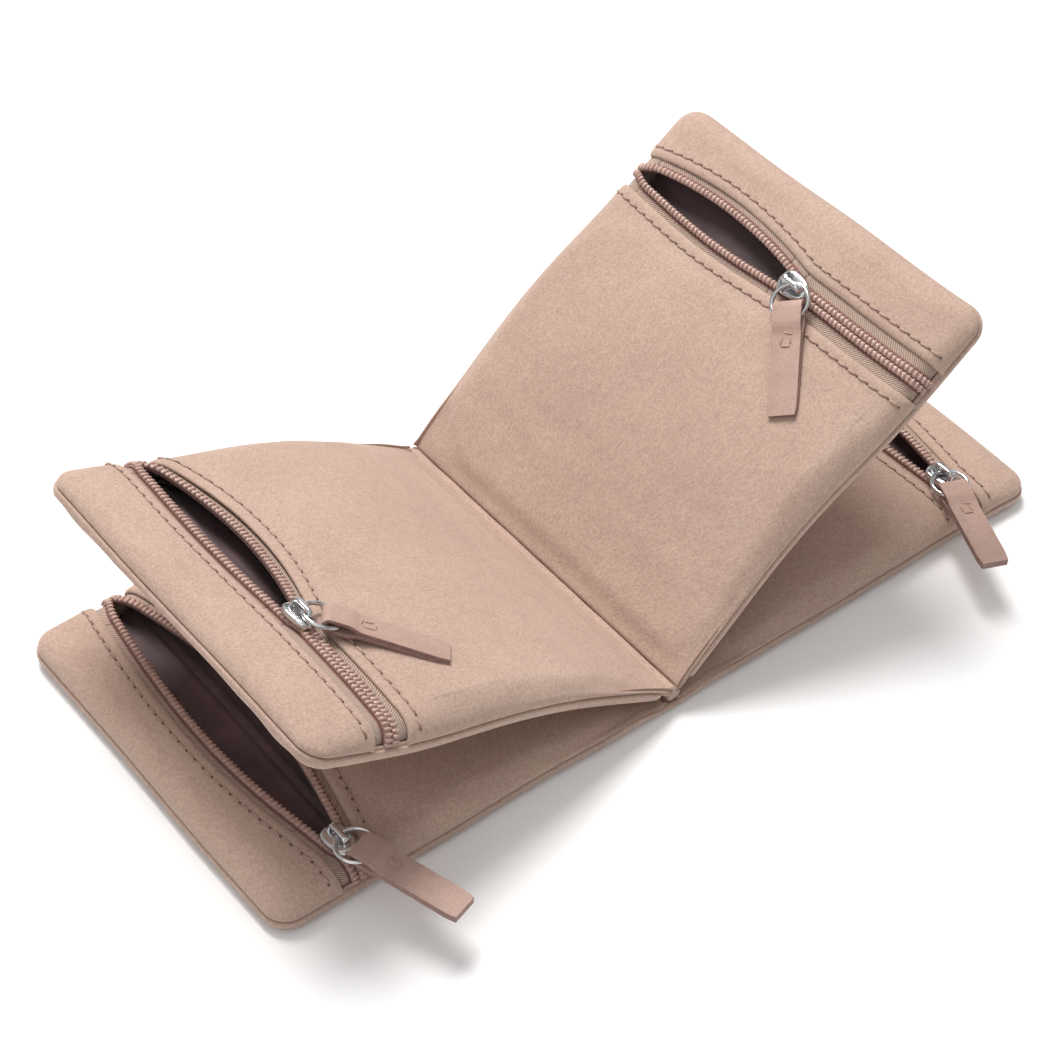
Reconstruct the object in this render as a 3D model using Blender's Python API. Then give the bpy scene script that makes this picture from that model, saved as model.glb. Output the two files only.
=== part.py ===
"""Leather travel jewellery case: four zipped pocket leaves sewn together across the middle.

Two double-ended strips lie one on the other and are stitched through at a centre seam. Each half of a
strip is a leaf: a back panel, a front panel and an end flap of leather, a lining bag, and a coil zip
across the leaf between front panel and end flap, with a slider, a wire ring and a folded leather tab.
Metres, +Z up. X runs along the leaves, Y along the seam, and the origin is under the seam's middle.
"""

import math

import bmesh
import bpy
from mathutils import Matrix, Vector

MM = 0.001
GAP = 0.3 * MM  # clearance that touching pieces keep

# Overall sizes of the leaves
LEAF_WIDTH = 96 * MM
LEAF_LENGTH = 104 * MM
OUTER_LEAF_LENGTH = 112 * MM  # the lower right leaf wraps round the others, so it is cut longer
LEAF_MIDDLE = 9.2 * MM  # thickness in the pocket's middle
LEAF_SIDE = 5.6 * MM  # thickness at the side edges
LEAF_END = 5.0 * MM  # thickness at the free end
LEAF_SEAM = 2.5 * MM  # thickness where the leaf is sewn down
SWELL_LENGTH = 62 * MM  # distance from the seam over which the leaf swells to its middle thickness
END_TAPER = 16 * MM
CORNER_RADIUS = 8 * MM
CROWN_POWER = 8  # how squarely the front panel falls to its side edges

# Leather, lining and welt
LEATHER = 1.0 * MM
LINING = 0.3 * MM
WELT_WIDTH = 2.2 * MM  # turned-in seam allowance along the two sides and the free end
WELT_START = 16 * MM
SEAM_HALF = 1.6 * MM
SEAM_EDGE_LENGTH = 3.1 * MM

# Zip
ZIP_FROM_END = 20 * MM
TAPE_REACH = 4.6 * MM  # from the zip's centre line to the leather's edge
TAPE = 0.5 * MM
TAPE_BELOW = 1.3 * MM  # how far the tape lies below the leaf's highest surface
COIL_WIDTH = 1.7 * MM
COIL_HEIGHT = 1.2 * MM
COIL_MIDDLE_GAP = 0.15 * MM  # half the gap between the two closed rows
ZIP_INSET = 2 * MM  # from the leaf's side edges to the zip's ends
ZIP_HALF = LEAF_WIDTH / 2 - ZIP_INSET

# Slider, ring and tab
SLIDER_LENGTH = 8.0 * MM
SLIDER_WIDTH = 6.4 * MM
PLATE = 0.9 * MM
POST_WIDTH = 1.4 * MM
POST_INSET = 0.6 * MM  # from the slider's nose to the post that parts the rows
BRIDGE_FEET = 2.75 * MM  # from the slider's middle to the middle of each foot
BRIDGE_WIRE = 0.8 * MM
RING_RADIUS = 4.3 * MM
RING_WIRE = 0.5 * MM
TAB_LENGTH = 27 * MM
TAB_LAYER = 0.9 * MM
TAB_WIDTH = 2 * (RING_RADIUS - RING_WIRE - GAP)  # just passes through the ring
EYE_HALF = RING_WIRE + GAP  # half the inside height of the tab's loop
# The loop's straight run is as long as the ring's curve is deep across the tab.
EYE_RUN = RING_RADIUS + RING_WIRE + GAP - math.sqrt((RING_RADIUS - RING_WIRE) ** 2 - (TAB_WIDTH / 2) ** 2)
EYE_CLOSE = 3 * MM  # over which the two layers come together behind the loop
TACK_AT = 8.5 * MM  # from the loop's end to the stitches that close it
TACK_WIDTH = 3.2 * MM
TACK_LENGTH = 0.6 * MM
TACK_HEIGHT = 0.4 * MM

AXIS_HEIGHT = 2 * LEAF_SEAM + 2 * GAP  # the fold line, on the top strip's front surface at the seam

LEATHER_COLOUR = (0.56, 0.40, 0.33, 1)
LINING_COLOUR = (0.10, 0.055, 0.055, 1)
TAPE_COLOUR = (0.55, 0.40, 0.33, 1)
COIL_COLOUR = (0.62, 0.45, 0.39, 1)
NICKEL_COLOUR = (0.78, 0.78, 0.79, 1)
THREAD_COLOUR = (0.50, 0.34, 0.28, 1)

# side: +1 towards +X. angle: how far the leaf is raised. from_near: the slider's distance from the
# side edge at -Y. bow_seam and bow_end: how far the open zip's two edges gape. turn: the tab's angle
# from -Y towards the seam.
LEAVES = (
    dict(name="lower_left", side=-1, upper=False, angle=0, length=LEAF_LENGTH, from_near=7.5 * MM,
         bow_seam=7 * MM, bow_end=6 * MM, turn=17),
    dict(name="lower_right", side=1, upper=False, angle=0, length=OUTER_LEAF_LENGTH, from_near=11 * MM,
         bow_seam=1.5 * MM, bow_end=4.5 * MM, turn=23),
    dict(name="upper_left", side=-1, upper=True, angle=24, length=LEAF_LENGTH, from_near=34.5 * MM,
         bow_seam=6.5 * MM, bow_end=0.6 * MM, turn=50),
    dict(name="upper_right", side=1, upper=True, angle=38, length=LEAF_LENGTH, from_near=39 * MM,
         bow_seam=1.2 * MM, bow_end=3.6 * MM, turn=50),
)


def make_material(name, colour, roughness, metallic=0.0):
    material = bpy.data.materials.new(name)
    material.use_nodes = True
    material.diffuse_color = colour
    shader = material.node_tree.nodes["Principled BSDF"]
    shader.inputs["Base Color"].default_value = colour
    shader.inputs["Roughness"].default_value = roughness
    shader.inputs["Metallic"].default_value = metallic
    return material


def add_object(name, mesh, parent, material, smooth=False):
    made = bpy.data.objects.new(name, mesh)
    bpy.context.scene.collection.objects.link(made)
    made.parent = parent
    mesh.materials.append(material)
    if smooth:
        mesh.shade_smooth()
        mesh.set_sharp_from_angle(angle=math.radians(35))
    return made


def add_empty(name, parent, matrix):
    made = bpy.data.objects.new(name, None)
    bpy.context.scene.collection.objects.link(made)
    made.parent = parent
    made.matrix_local = matrix
    return made


def finish_mesh(name, bm):
    bmesh.ops.recalc_face_normals(bm, faces=bm.faces)
    mesh = bpy.data.meshes.new(name)
    bm.to_mesh(mesh)
    bm.free()
    return mesh


def plate_mesh(name, across, rows, start, end, bottom, top):
    """A closed plate over a grid: start and end bound it along the leaf for each place across."""
    bm = bmesh.new()
    layers = []
    for height in (bottom, top):
        grid = []
        for y in across:
            line = []
            for i in range(rows + 1):
                s = start(y) + (end(y) - start(y)) * i / rows
                line.append(bm.verts.new((s, y, height(s, y))))
            grid.append(line)
        layers.append(grid)
    low, high = layers
    last = len(across) - 1
    for j in range(last):
        for i in range(rows):
            for grid in layers:
                bm.faces.new((grid[j][i], grid[j][i + 1], grid[j + 1][i + 1], grid[j + 1][i]))
        for i in (0, rows):
            bm.faces.new((low[j][i], low[j + 1][i], high[j + 1][i], high[j][i]))
    for i in range(rows):
        for j in (0, last):
            bm.faces.new((low[j][i], low[j][i + 1], high[j][i + 1], high[j][i]))
    return finish_mesh(name, bm)


def box_mesh(name, low, high):
    bm = bmesh.new()
    size = Vector(high) - Vector(low)
    middle = (Vector(high) + Vector(low)) / 2
    bmesh.ops.create_cube(bm, matrix=Matrix.Translation(middle) @ Matrix.Diagonal((*size, 1)))
    return finish_mesh(name, bm)


def outline_mesh(name, outline, low, high):
    """A prism of an outline in X and Y, from height low to height high."""
    bm = bmesh.new()
    face = bm.faces.new([bm.verts.new((x, y, low)) for x, y in outline])
    lifted = bmesh.ops.extrude_face_region(bm, geom=[face])["geom"]
    verts = [v for v in lifted if isinstance(v, bmesh.types.BMVert)]
    bmesh.ops.translate(bm, verts=verts, vec=(0, 0, high - low))
    return finish_mesh(name, bm)


def boolean(target, cutter, operation):
    modifier = target.modifiers.new(operation.lower(), "BOOLEAN")
    modifier.operation = operation
    modifier.solver = "EXACT"
    modifier.object = cutter
    cutter.hide_render = True
    cutter.display_type = "WIRE"


def cut_of(y):
    """How much a rounded corner takes off the free end at this place across."""
    half = LEAF_WIDTH / 2
    past = max(0.0, abs(y) - (half - CORNER_RADIUS))
    return CORNER_RADIUS - math.sqrt(max(0.0, CORNER_RADIUS ** 2 - min(past, CORNER_RADIUS) ** 2))


def spread(half, inner=6, corner=4):
    """Places across a leaf: even in the middle, closer where the corners round off."""
    middle = half - CORNER_RADIUS
    places = [middle * (i / inner) for i in range(inner + 1)]
    steps = [math.sin(math.pi / 2 * (i + 1) / corner) for i in range(corner)]
    places += [middle + (half - middle) * step for step in steps]
    return [-y for y in reversed(places[1:])] + places


class Leaf:
    """One leaf's own frame: X from the seam to the free end, Y across, Z from back panel to front."""

    def __init__(self, facts):
        self.__dict__.update(facts)
        self.zip_at = self.length - ZIP_FROM_END
        self.axis = AXIS_HEIGHT - (LEAF_SEAM + GAP if self.upper else 0)
        turn = Matrix.Rotation(math.pi if self.side < 0 else 0, 4, "Z")
        raised = Matrix.Rotation(-math.radians(self.angle), 4, "Y")
        # A left leaf is the right leaf turned half round, so its own Y runs the other way.
        self.frame = add_empty(self.name + "_frame", None,
                               Matrix.Translation((0, 0, AXIS_HEIGHT)) @ turn @ raised
                               @ Matrix.Translation((0, 0, -self.axis)))
        self.slider_y = (self.from_near - LEAF_WIDTH / 2) * self.side

    def thickness(self, s, y):
        """Height of the front surface over the back surface."""
        if s < SWELL_LENGTH:
            share = max(0.0, s / SWELL_LENGTH)
            middle = LEAF_SEAM + (LEAF_MIDDLE - LEAF_SEAM) * share
            side = LEAF_SEAM + (LEAF_SIDE - LEAF_SEAM) * share
        else:
            past = max(0.0, s - (self.length - END_TAPER)) / END_TAPER
            fall = 1 - math.cos(math.pi / 2 * min(1.0, past))
            middle = LEAF_MIDDLE - (LEAF_MIDDLE - LEAF_END) * fall
            side = LEAF_SIDE - (LEAF_SIDE - LEAF_END) * fall
        return middle - (middle - side) * min(1.0, abs(y) / (LEAF_WIDTH / 2)) ** CROWN_POWER

    def end(self, y):
        return self.length - cut_of(y)

    def opened(self, y):
        """0 where the zip is closed, rising to 1 in the middle of its open stretch."""
        far = self.side * ZIP_HALF
        from_far = (far - y) / (far - self.slider_y)
        return math.sin(math.pi * from_far) if 0 < from_far < 1 else 0.0

    def row_gap(self, y):
        """Half the gap that the slider's post holds between the coil rows."""
        from_post = (y - self.slider_y) * self.side
        share = min(1.0, max(0.0, (from_post + SLIDER_LENGTH / 4) / (SLIDER_LENGTH / 4)))
        return COIL_MIDDLE_GAP + (POST_WIDTH / 2 + GAP - COIL_MIDDLE_GAP) * share

    def leather_edge(self, way, y):
        """Where the leather meets the tape. way -1 is the front panel's edge, +1 the end flap's."""
        bow = self.bow_seam if way < 0 else self.bow_end
        return self.zip_at + way * (TAPE_REACH + bow * self.opened(y))

    def row_edge(self, way, y):
        bow = self.bow_seam if way < 0 else self.bow_end
        return self.zip_at + way * (self.row_gap(y) + bow * self.opened(y))


def zip_places(leaf):
    """Places across for the zip's pieces, with extra ones where the rows part at the slider."""
    even = [ZIP_HALF * (i / 8 - 1) for i in range(17)]
    near_slider = [leaf.slider_y + SLIDER_LENGTH * k / 8 for k in (-4, -2, -1, 0, 4)]
    kept = [y for y in even if min(abs(y - n) for n in near_slider) > 1 * MM]
    return sorted(kept + [y for y in near_slider if abs(y) < ZIP_HALF])


def add_panels(leaf, inner_start, leather):
    across = spread(LEAF_WIDTH / 2)
    name = leaf.name

    def front(s, y):
        return leaf.thickness(s, y)

    def under_front(s, y):
        return leaf.thickness(s, y) - LEATHER

    back = plate_mesh(name, across, 1, lambda y: inner_start, leaf.end,
                      lambda s, y: 0, lambda s, y: LEATHER)
    add_object(name + "_back_panel", back, leaf.frame, leather)
    flap = plate_mesh(name, across, 3, lambda y: leaf.leather_edge(1, y), leaf.end, under_front, front)
    add_object(name + "_end_flap", flap, leaf.frame, leather, smooth=True)
    panel = plate_mesh(name, across, 7, lambda y: inner_start, lambda y: leaf.leather_edge(-1, y),
                       under_front, front)
    add_object(name + "_front_panel", panel, leaf.frame, leather, smooth=True)


def add_welt(leaf, leather):
    """The seam allowance turned in along both sides and the free end, between the panels."""
    half = LEAF_WIDTH / 2
    route = []
    steps = 6
    for i in range(steps + 1):
        route.append((WELT_START + (leaf.length - CORNER_RADIUS - WELT_START) * i / steps, -half, 0, 1))
    for i in range(1, 4):
        turn = math.pi / 2 * i / 4
        x = leaf.length - CORNER_RADIUS * (1 - math.sin(turn))
        y = -half + CORNER_RADIUS * (1 - math.cos(turn))
        route.append((x, y, -math.sin(turn), math.cos(turn)))
    for i in range(5):
        route.append((leaf.length, (half - CORNER_RADIUS) * (i / 2 - 1), -1, 0))
    route += [(x, -y, nx, -ny) for x, y, nx, ny in reversed(route[:-5])]
    bm = bmesh.new()
    rings = []
    for x, y, nx, ny in route:
        outer = (x + nx * GAP, y + ny * GAP)
        inner = (x + nx * WELT_WIDTH, y + ny * WELT_WIDTH)
        ring = []
        for px, py in (outer, inner):
            top = min(leaf.thickness(px, py), LEAF_SIDE) - LEATHER - GAP
            for height in (LEATHER + GAP, top):
                ring.append(bm.verts.new((px, py, height)))
        rings.append((ring[0], ring[1], ring[3], ring[2]))
    for a, b in zip(rings, rings[1:]):
        for k in range(4):
            bm.faces.new((a[k], a[(k + 1) % 4], b[(k + 1) % 4], b[k]))
    bm.faces.new(rings[0])
    bm.faces.new(rings[-1])
    add_object(leaf.name + "_side_welt", finish_mesh(leaf.name, bm), leaf.frame, leather)


def add_lining(leaf, lining):
    """A satin bag inside the welt, open along the zip."""
    half = LEAF_WIDTH / 2 - WELT_WIDTH - GAP
    base = LEATHER + GAP
    meshes = []
    for inset in (0, LINING):
        edge = half - inset
        across = [edge * k for k in (-1, -0.96, -0.85, -0.5, 0, 0.5, 0.85, 0.96, 1)]
        start = WELT_START + inset
        end = leaf.length - WELT_WIDTH - GAP - inset
        meshes.append(plate_mesh(
            leaf.name, across, 8, lambda y: start,
            lambda y: end - max(0.0, abs(y) - (half - 6 * MM)) * 0.8,
            lambda s, y: base + inset,
            lambda s, y: leaf.thickness(s, y) - LEATHER - GAP - inset))
    bag = add_object(leaf.name + "_lining", meshes[0], leaf.frame, lining)
    hollow = add_object(leaf.name + "_lining_hollow", meshes[1], leaf.frame, lining)
    boolean(bag, hollow, "DIFFERENCE")
    low = (leaf.zip_at - TAPE_REACH - leaf.bow_seam - GAP, -(half - 1.2 * MM), LEAF_SIDE - 1.5 * MM)
    high = (leaf.zip_at + TAPE_REACH + leaf.bow_end + GAP, half - 1.2 * MM, 2 * LEAF_MIDDLE)
    mouth = add_object(leaf.name + "_lining_mouth", box_mesh("mouth", low, high), leaf.frame, lining)
    boolean(bag, mouth, "DIFFERENCE")


def add_zip(leaf, tape, coil):
    places = zip_places(leaf)
    tape_top = LEAF_MIDDLE - TAPE_BELOW
    coil_low = tape_top + GAP
    for way, edge in ((-1, "seam_side"), (1, "end_side")):
        strip = plate_mesh(leaf.name, places, 1, lambda y: leaf.row_edge(way, y),
                           lambda y: leaf.leather_edge(way, y) - way * GAP,
                           lambda s, y: tape_top - TAPE, lambda s, y: tape_top)
        add_object(f"{leaf.name}_tape_{edge}", strip, leaf.frame, tape)
        row = plate_mesh(leaf.name, places, 2, lambda y: leaf.row_edge(way, y),
                         lambda y: leaf.row_edge(way, y) + way * COIL_WIDTH,
                         lambda s, y: coil_low, lambda s, y: coil_low + COIL_HEIGHT)
        add_object(f"{leaf.name}_coil_{edge}", row, leaf.frame, coil)


def oval(length, width, steps=10):
    """A stadium-like outline with its long side along Y."""
    points = []
    for way in (1, -1):
        for i in range(steps + 1):
            turn = math.pi * i / steps
            points.append((way * width / 2 * math.cos(turn),
                           way * (length / 2 - width / 2 + width / 2 * math.sin(turn))))
    return points


def add_slider(leaf, nickel):
    """Crown plate over the coil, body plate under the tape, the post between, and the bridge on top."""
    centre = add_empty(leaf.name + "_slider_place", leaf.frame,
                       Matrix.Translation((leaf.zip_at, leaf.slider_y, 0)))
    tape_top = LEAF_MIDDLE - TAPE_BELOW
    crown_low = tape_top + GAP + COIL_HEIGHT + GAP
    body_high = tape_top - TAPE - GAP
    shape = oval(SLIDER_LENGTH, SLIDER_WIDTH)
    crown = add_object(leaf.name + "_slider", outline_mesh("crown", shape, crown_low, crown_low + PLATE),
                       centre, nickel)
    body = add_object(leaf.name + "_slider_body", outline_mesh("body", shape, body_high - PLATE, body_high),
                      centre, nickel)
    post_far = leaf.side * (SLIDER_LENGTH / 2 - POST_INSET)
    post_ys = sorted((0, post_far))
    post = add_object(leaf.name + "_slider_post", box_mesh(
        "post", (-POST_WIDTH / 2, post_ys[0], body_high - PLATE / 2),
        (POST_WIDTH / 2, post_ys[1], crown_low + PLATE / 2)), centre, nickel)
    rise = PLATE / 2 + 2 * GAP + 2 * RING_WIRE + BRIDGE_WIRE
    foot = BRIDGE_FEET + BRIDGE_WIRE / 2
    low = crown_low + PLATE / 2
    bridge = add_object(leaf.name + "_slider_bridge", box_mesh(
        "bridge", (-BRIDGE_WIRE / 2, -foot, low), (BRIDGE_WIRE / 2, foot, low + rise)), centre, nickel)
    bevel = bridge.modifiers.new("rounded", "BEVEL")
    bevel.width = BRIDGE_WIRE * 0.3
    bevel.segments = 2
    inner = BRIDGE_FEET - BRIDGE_WIRE / 2
    eye = add_object(leaf.name + "_slider_eye", box_mesh(
        "eye", (-2 * MM, -inner, low - MM), (2 * MM, inner, low + rise - BRIDGE_WIRE)), centre, nickel)
    boolean(bridge, eye, "DIFFERENCE")
    for piece in (body, post, bridge):
        boolean(crown, piece, "UNION")
    leaf.ring_height = crown_low + PLATE + GAP + RING_WIRE
    return centre


def tab_mesh(name):
    """A strip folded round the ring: two layers, parted by an eye at the ring's end."""
    outer, inner = [], []
    steps = 6
    shell = EYE_HALF + TAB_LAYER
    for i in range(steps + 1):
        turn = math.pi * (0.5 + i / steps)
        outer.append((shell * math.cos(turn), shell * math.sin(turn)))
        inner.append((EYE_HALF * math.cos(turn), EYE_HALF * math.sin(turn)))
    # The eye runs straight past the ring, then closes to a slit.
    inner += [(EYE_RUN, -EYE_HALF), (EYE_RUN + EYE_CLOSE / 2, 0), (EYE_RUN, EYE_HALF)]
    outer += [(EYE_RUN, -shell), (EYE_RUN + EYE_CLOSE, -TAB_LAYER)]
    length = TAB_LENGTH - shell
    outer += [(length, -TAB_LAYER), (length, TAB_LAYER)]
    outer += [(EYE_RUN + EYE_CLOSE, TAB_LAYER), (EYE_RUN, shell)]
    bm = bmesh.new()
    edges = []
    for loop in (outer, inner):
        verts = [bm.verts.new((u, -TAB_WIDTH / 2, v)) for u, v in loop]
        edges += [bm.edges.new((verts[k], verts[(k + 1) % len(verts)])) for k in range(len(verts))]
    bmesh.ops.triangle_fill(bm, use_beauty=True, edges=edges)
    lifted = bmesh.ops.extrude_face_region(bm, geom=list(bm.faces))["geom"]
    verts = [v for v in lifted if isinstance(v, bmesh.types.BMVert)]
    bmesh.ops.translate(bm, verts=verts, vec=(0, TAB_WIDTH, 0))
    return finish_mesh(name, bm)


def ring_mesh(name, around=24, wire=8):
    bm = bmesh.new()
    section = bmesh.ops.create_circle(bm, segments=wire, radius=RING_WIRE, cap_ends=False)["verts"]
    bmesh.ops.rotate(bm, verts=section, cent=(0, 0, 0), matrix=Matrix.Rotation(math.pi / 2, 3, "X"))
    bmesh.ops.translate(bm, verts=section, vec=(RING_RADIUS, 0, 0))
    bmesh.ops.spin(bm, geom=list(bm.edges) + section, cent=(0, 0, 0), axis=(0, 0, 1),
                   angle=2 * math.pi, steps=around, use_merge=True, use_duplicate=False)
    bmesh.ops.remove_doubles(bm, verts=bm.verts, dist=1e-6)
    return finish_mesh(name, bm)


def add_pull(leaf, slider_place, nickel, leather, thread):
    """The ring under the bridge and the tab on it, on one empty at the bridge that lifts them."""
    way = math.radians(-90 * leaf.side - leaf.turn * leaf.side)
    pull = add_empty(leaf.name + "_pull_place", slider_place,
                     Matrix.Translation((0, 0, leaf.ring_height)) @ Matrix.Rotation(way, 4, "Z"))
    ring = ring_mesh(leaf.name)
    ring.transform(Matrix.Translation((RING_RADIUS, 0, 0)))
    add_object(leaf.name + "_pull_ring", ring, pull, nickel, smooth=True)
    # The eye's far end stands a gap off the ring's outside, so the tab starts inside the ring.
    start = 2 * RING_RADIUS + RING_WIRE + GAP - EYE_RUN
    tab = tab_mesh(leaf.name)
    tab.transform(Matrix.Translation((start, 0, 0)))
    add_object(leaf.name + "_pull_tab", tab, pull, leather)
    tack_at = start + TACK_AT
    tack = box_mesh(leaf.name, (tack_at, -TACK_WIDTH / 2, TAB_LAYER + GAP),
                    (tack_at + TACK_LENGTH, TACK_WIDTH / 2, TAB_LAYER + GAP + TACK_HEIGHT))
    add_object(leaf.name + "_tab_tack", tack, pull, thread)


def add_seam_edge(leaf, leather):
    """The sewn-down edge of an upper leaf, which the rest of the leaf turns on."""
    start = SEAM_HALF + GAP
    half = LEAF_WIDTH / 2
    strip = plate_mesh(leaf.name, [-half, 0, half], 1, lambda y: start,
                       lambda y: start + SEAM_EDGE_LENGTH, lambda s, y: 0, lambda s, y: LEAF_SEAM)
    add_object(leaf.name + "_seam_edge", strip, leaf.frame, leather)


def add_centre_seam(leather):
    """The band where both strips are stitched through, flat underneath."""
    half = LEAF_WIDTH / 2
    band = box_mesh("band", (-SEAM_HALF, -half, 0), (SEAM_HALF, half, AXIS_HEIGHT - GAP))
    add_object("centre_seam", band, None, leather)


def main():
    for old in list(bpy.data.objects):
        bpy.data.objects.remove(old, do_unlink=True)
    leather = make_material("leather", LEATHER_COLOUR, 0.85)
    lining = make_material("lining", LINING_COLOUR, 0.5)
    tape = make_material("zip_tape", TAPE_COLOUR, 0.8)
    coil = make_material("zip_coil", COIL_COLOUR, 0.4)
    nickel = make_material("nickel", NICKEL_COLOUR, 0.2, 1.0)
    thread = make_material("thread", THREAD_COLOUR, 0.7)
    add_centre_seam(leather)
    for facts in LEAVES:
        leaf = Leaf(facts)
        inner_start = SEAM_HALF + GAP
        if leaf.upper:
            add_seam_edge(leaf, leather)
            inner_start += SEAM_EDGE_LENGTH + GAP
        add_panels(leaf, inner_start, leather)
        add_welt(leaf, leather)
        add_lining(leaf, lining)
        add_zip(leaf, tape, coil)
        slider_place = add_slider(leaf, nickel)
        add_pull(leaf, slider_place, nickel, leather, thread)


main()
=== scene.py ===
import math

import bmesh
import bpy
import numpy as np
from mathutils import Matrix, Vector, noise


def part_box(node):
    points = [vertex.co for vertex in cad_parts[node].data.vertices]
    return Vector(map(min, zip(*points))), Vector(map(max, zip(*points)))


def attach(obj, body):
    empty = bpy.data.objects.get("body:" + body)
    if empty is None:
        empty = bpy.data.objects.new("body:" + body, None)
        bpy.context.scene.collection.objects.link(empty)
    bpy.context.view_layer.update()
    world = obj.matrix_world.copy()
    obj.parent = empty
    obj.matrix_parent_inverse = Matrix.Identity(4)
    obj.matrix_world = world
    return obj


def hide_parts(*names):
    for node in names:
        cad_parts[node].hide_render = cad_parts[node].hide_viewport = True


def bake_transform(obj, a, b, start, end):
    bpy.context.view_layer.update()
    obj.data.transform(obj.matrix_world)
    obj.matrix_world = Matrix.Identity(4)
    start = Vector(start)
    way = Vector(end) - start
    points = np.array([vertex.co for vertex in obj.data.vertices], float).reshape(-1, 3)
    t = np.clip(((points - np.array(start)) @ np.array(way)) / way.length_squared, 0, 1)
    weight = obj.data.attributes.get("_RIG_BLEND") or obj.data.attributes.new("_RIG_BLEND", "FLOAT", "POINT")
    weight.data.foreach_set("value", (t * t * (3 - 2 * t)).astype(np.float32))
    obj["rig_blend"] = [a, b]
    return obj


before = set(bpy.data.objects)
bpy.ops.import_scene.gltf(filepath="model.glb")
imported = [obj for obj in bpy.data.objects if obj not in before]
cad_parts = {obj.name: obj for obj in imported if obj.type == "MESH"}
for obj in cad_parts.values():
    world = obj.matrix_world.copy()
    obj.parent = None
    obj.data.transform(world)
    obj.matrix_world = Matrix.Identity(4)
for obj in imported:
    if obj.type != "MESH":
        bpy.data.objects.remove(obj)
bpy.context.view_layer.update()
mm = 0.001
print("frame loaded:", len(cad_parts), "nodes")


case = {
    "halfWidth": 48 * mm,
    "axisHeight": 5.6 * mm,    # the fold line, in the crease between the upper leaves
    "upperAxis": 2.8 * mm,     # the same line, measured from an upper leaf's back
    "root": 2.5 * mm,          # thickness at the crease
    "middle": 9.2 * mm,        # thickness over the pocket
    "swell": 62 * mm,
    "sideDrop": 1.3 * mm,
    "endDrop": 1.8 * mm,
    "endRun": 20 * mm,
    "corner": 5.5 * mm,
    "zipFromEnd": 20 * mm,
    "tapeReach": 4.6 * mm,     # zip's centre line to the leather's edge
    "zipEnd": 46 * mm,         # where the rows run into the side seam
}

leafFacts = {
    "lower_left": {"side": -1, "upper": False, "angle": 0, "length": 104 * mm, "bowSeam": 7 * mm,
                   "bowEnd": 4.2 * mm, "turn": 17, "arch": 0, "seed": 3.1},
    "lower_right": {"side": 1, "upper": False, "angle": 0, "length": 112 * mm, "bowSeam": 1.5 * mm,
                    "bowEnd": 4.5 * mm, "turn": 23, "arch": 0, "seed": 17.7},
    "upper_left": {"side": -1, "upper": True, "angle": 24, "length": 104 * mm, "bowSeam": 6.5 * mm,
                   "bowEnd": 0.6 * mm, "turn": 50, "arch": 2.4 * mm, "seed": 41.3},
    "upper_right": {"side": 1, "upper": True, "angle": 38, "length": 104 * mm, "bowSeam": 1.2 * mm,
                    "bowEnd": 3.6 * mm, "turn": 50, "arch": 2.4 * mm, "seed": 65.9},
}

# The rounded border of a skin: lip in the seam's groove, then the turn up to the flat.
border = {"round": 5.6 * mm, "backRound": 2.6 * mm, "steps": 9, "power": 2.2, "lift": 0.5 * mm,
          "seam": 3.3 * mm, "proud": 0.35 * mm}


def smooth(t):
    t = np.clip(t, 0, 1)
    return t * t * (3 - 2 * t)


def wave(x, y, seed):
    # soft noise over two lengths, for arrays
    flat = [noise.noise(Vector((a, b, seed))) for a, b in zip(np.ravel(x), np.ravel(y))]
    return np.array(flat).reshape(np.shape(x))


def borderTable(roundness):
    # inset from the outline, offset from the seam's height, share of the rise to the flat
    table = [(0.9 * mm, 0.08 * mm, 0), (0.4 * mm, 0.08 * mm, 0), (0.08 * mm, 0.22 * mm, 0)]
    for i in range(border["steps"] + 1):
        turn = math.pi / 2 * i / border["steps"]
        inset = roundness * (1 - math.cos(turn) ** (2 / border["power"]))
        table.append((inset, border["lift"], math.sin(turn) ** (2 / border["power"])))
    return np.array(table)


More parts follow.
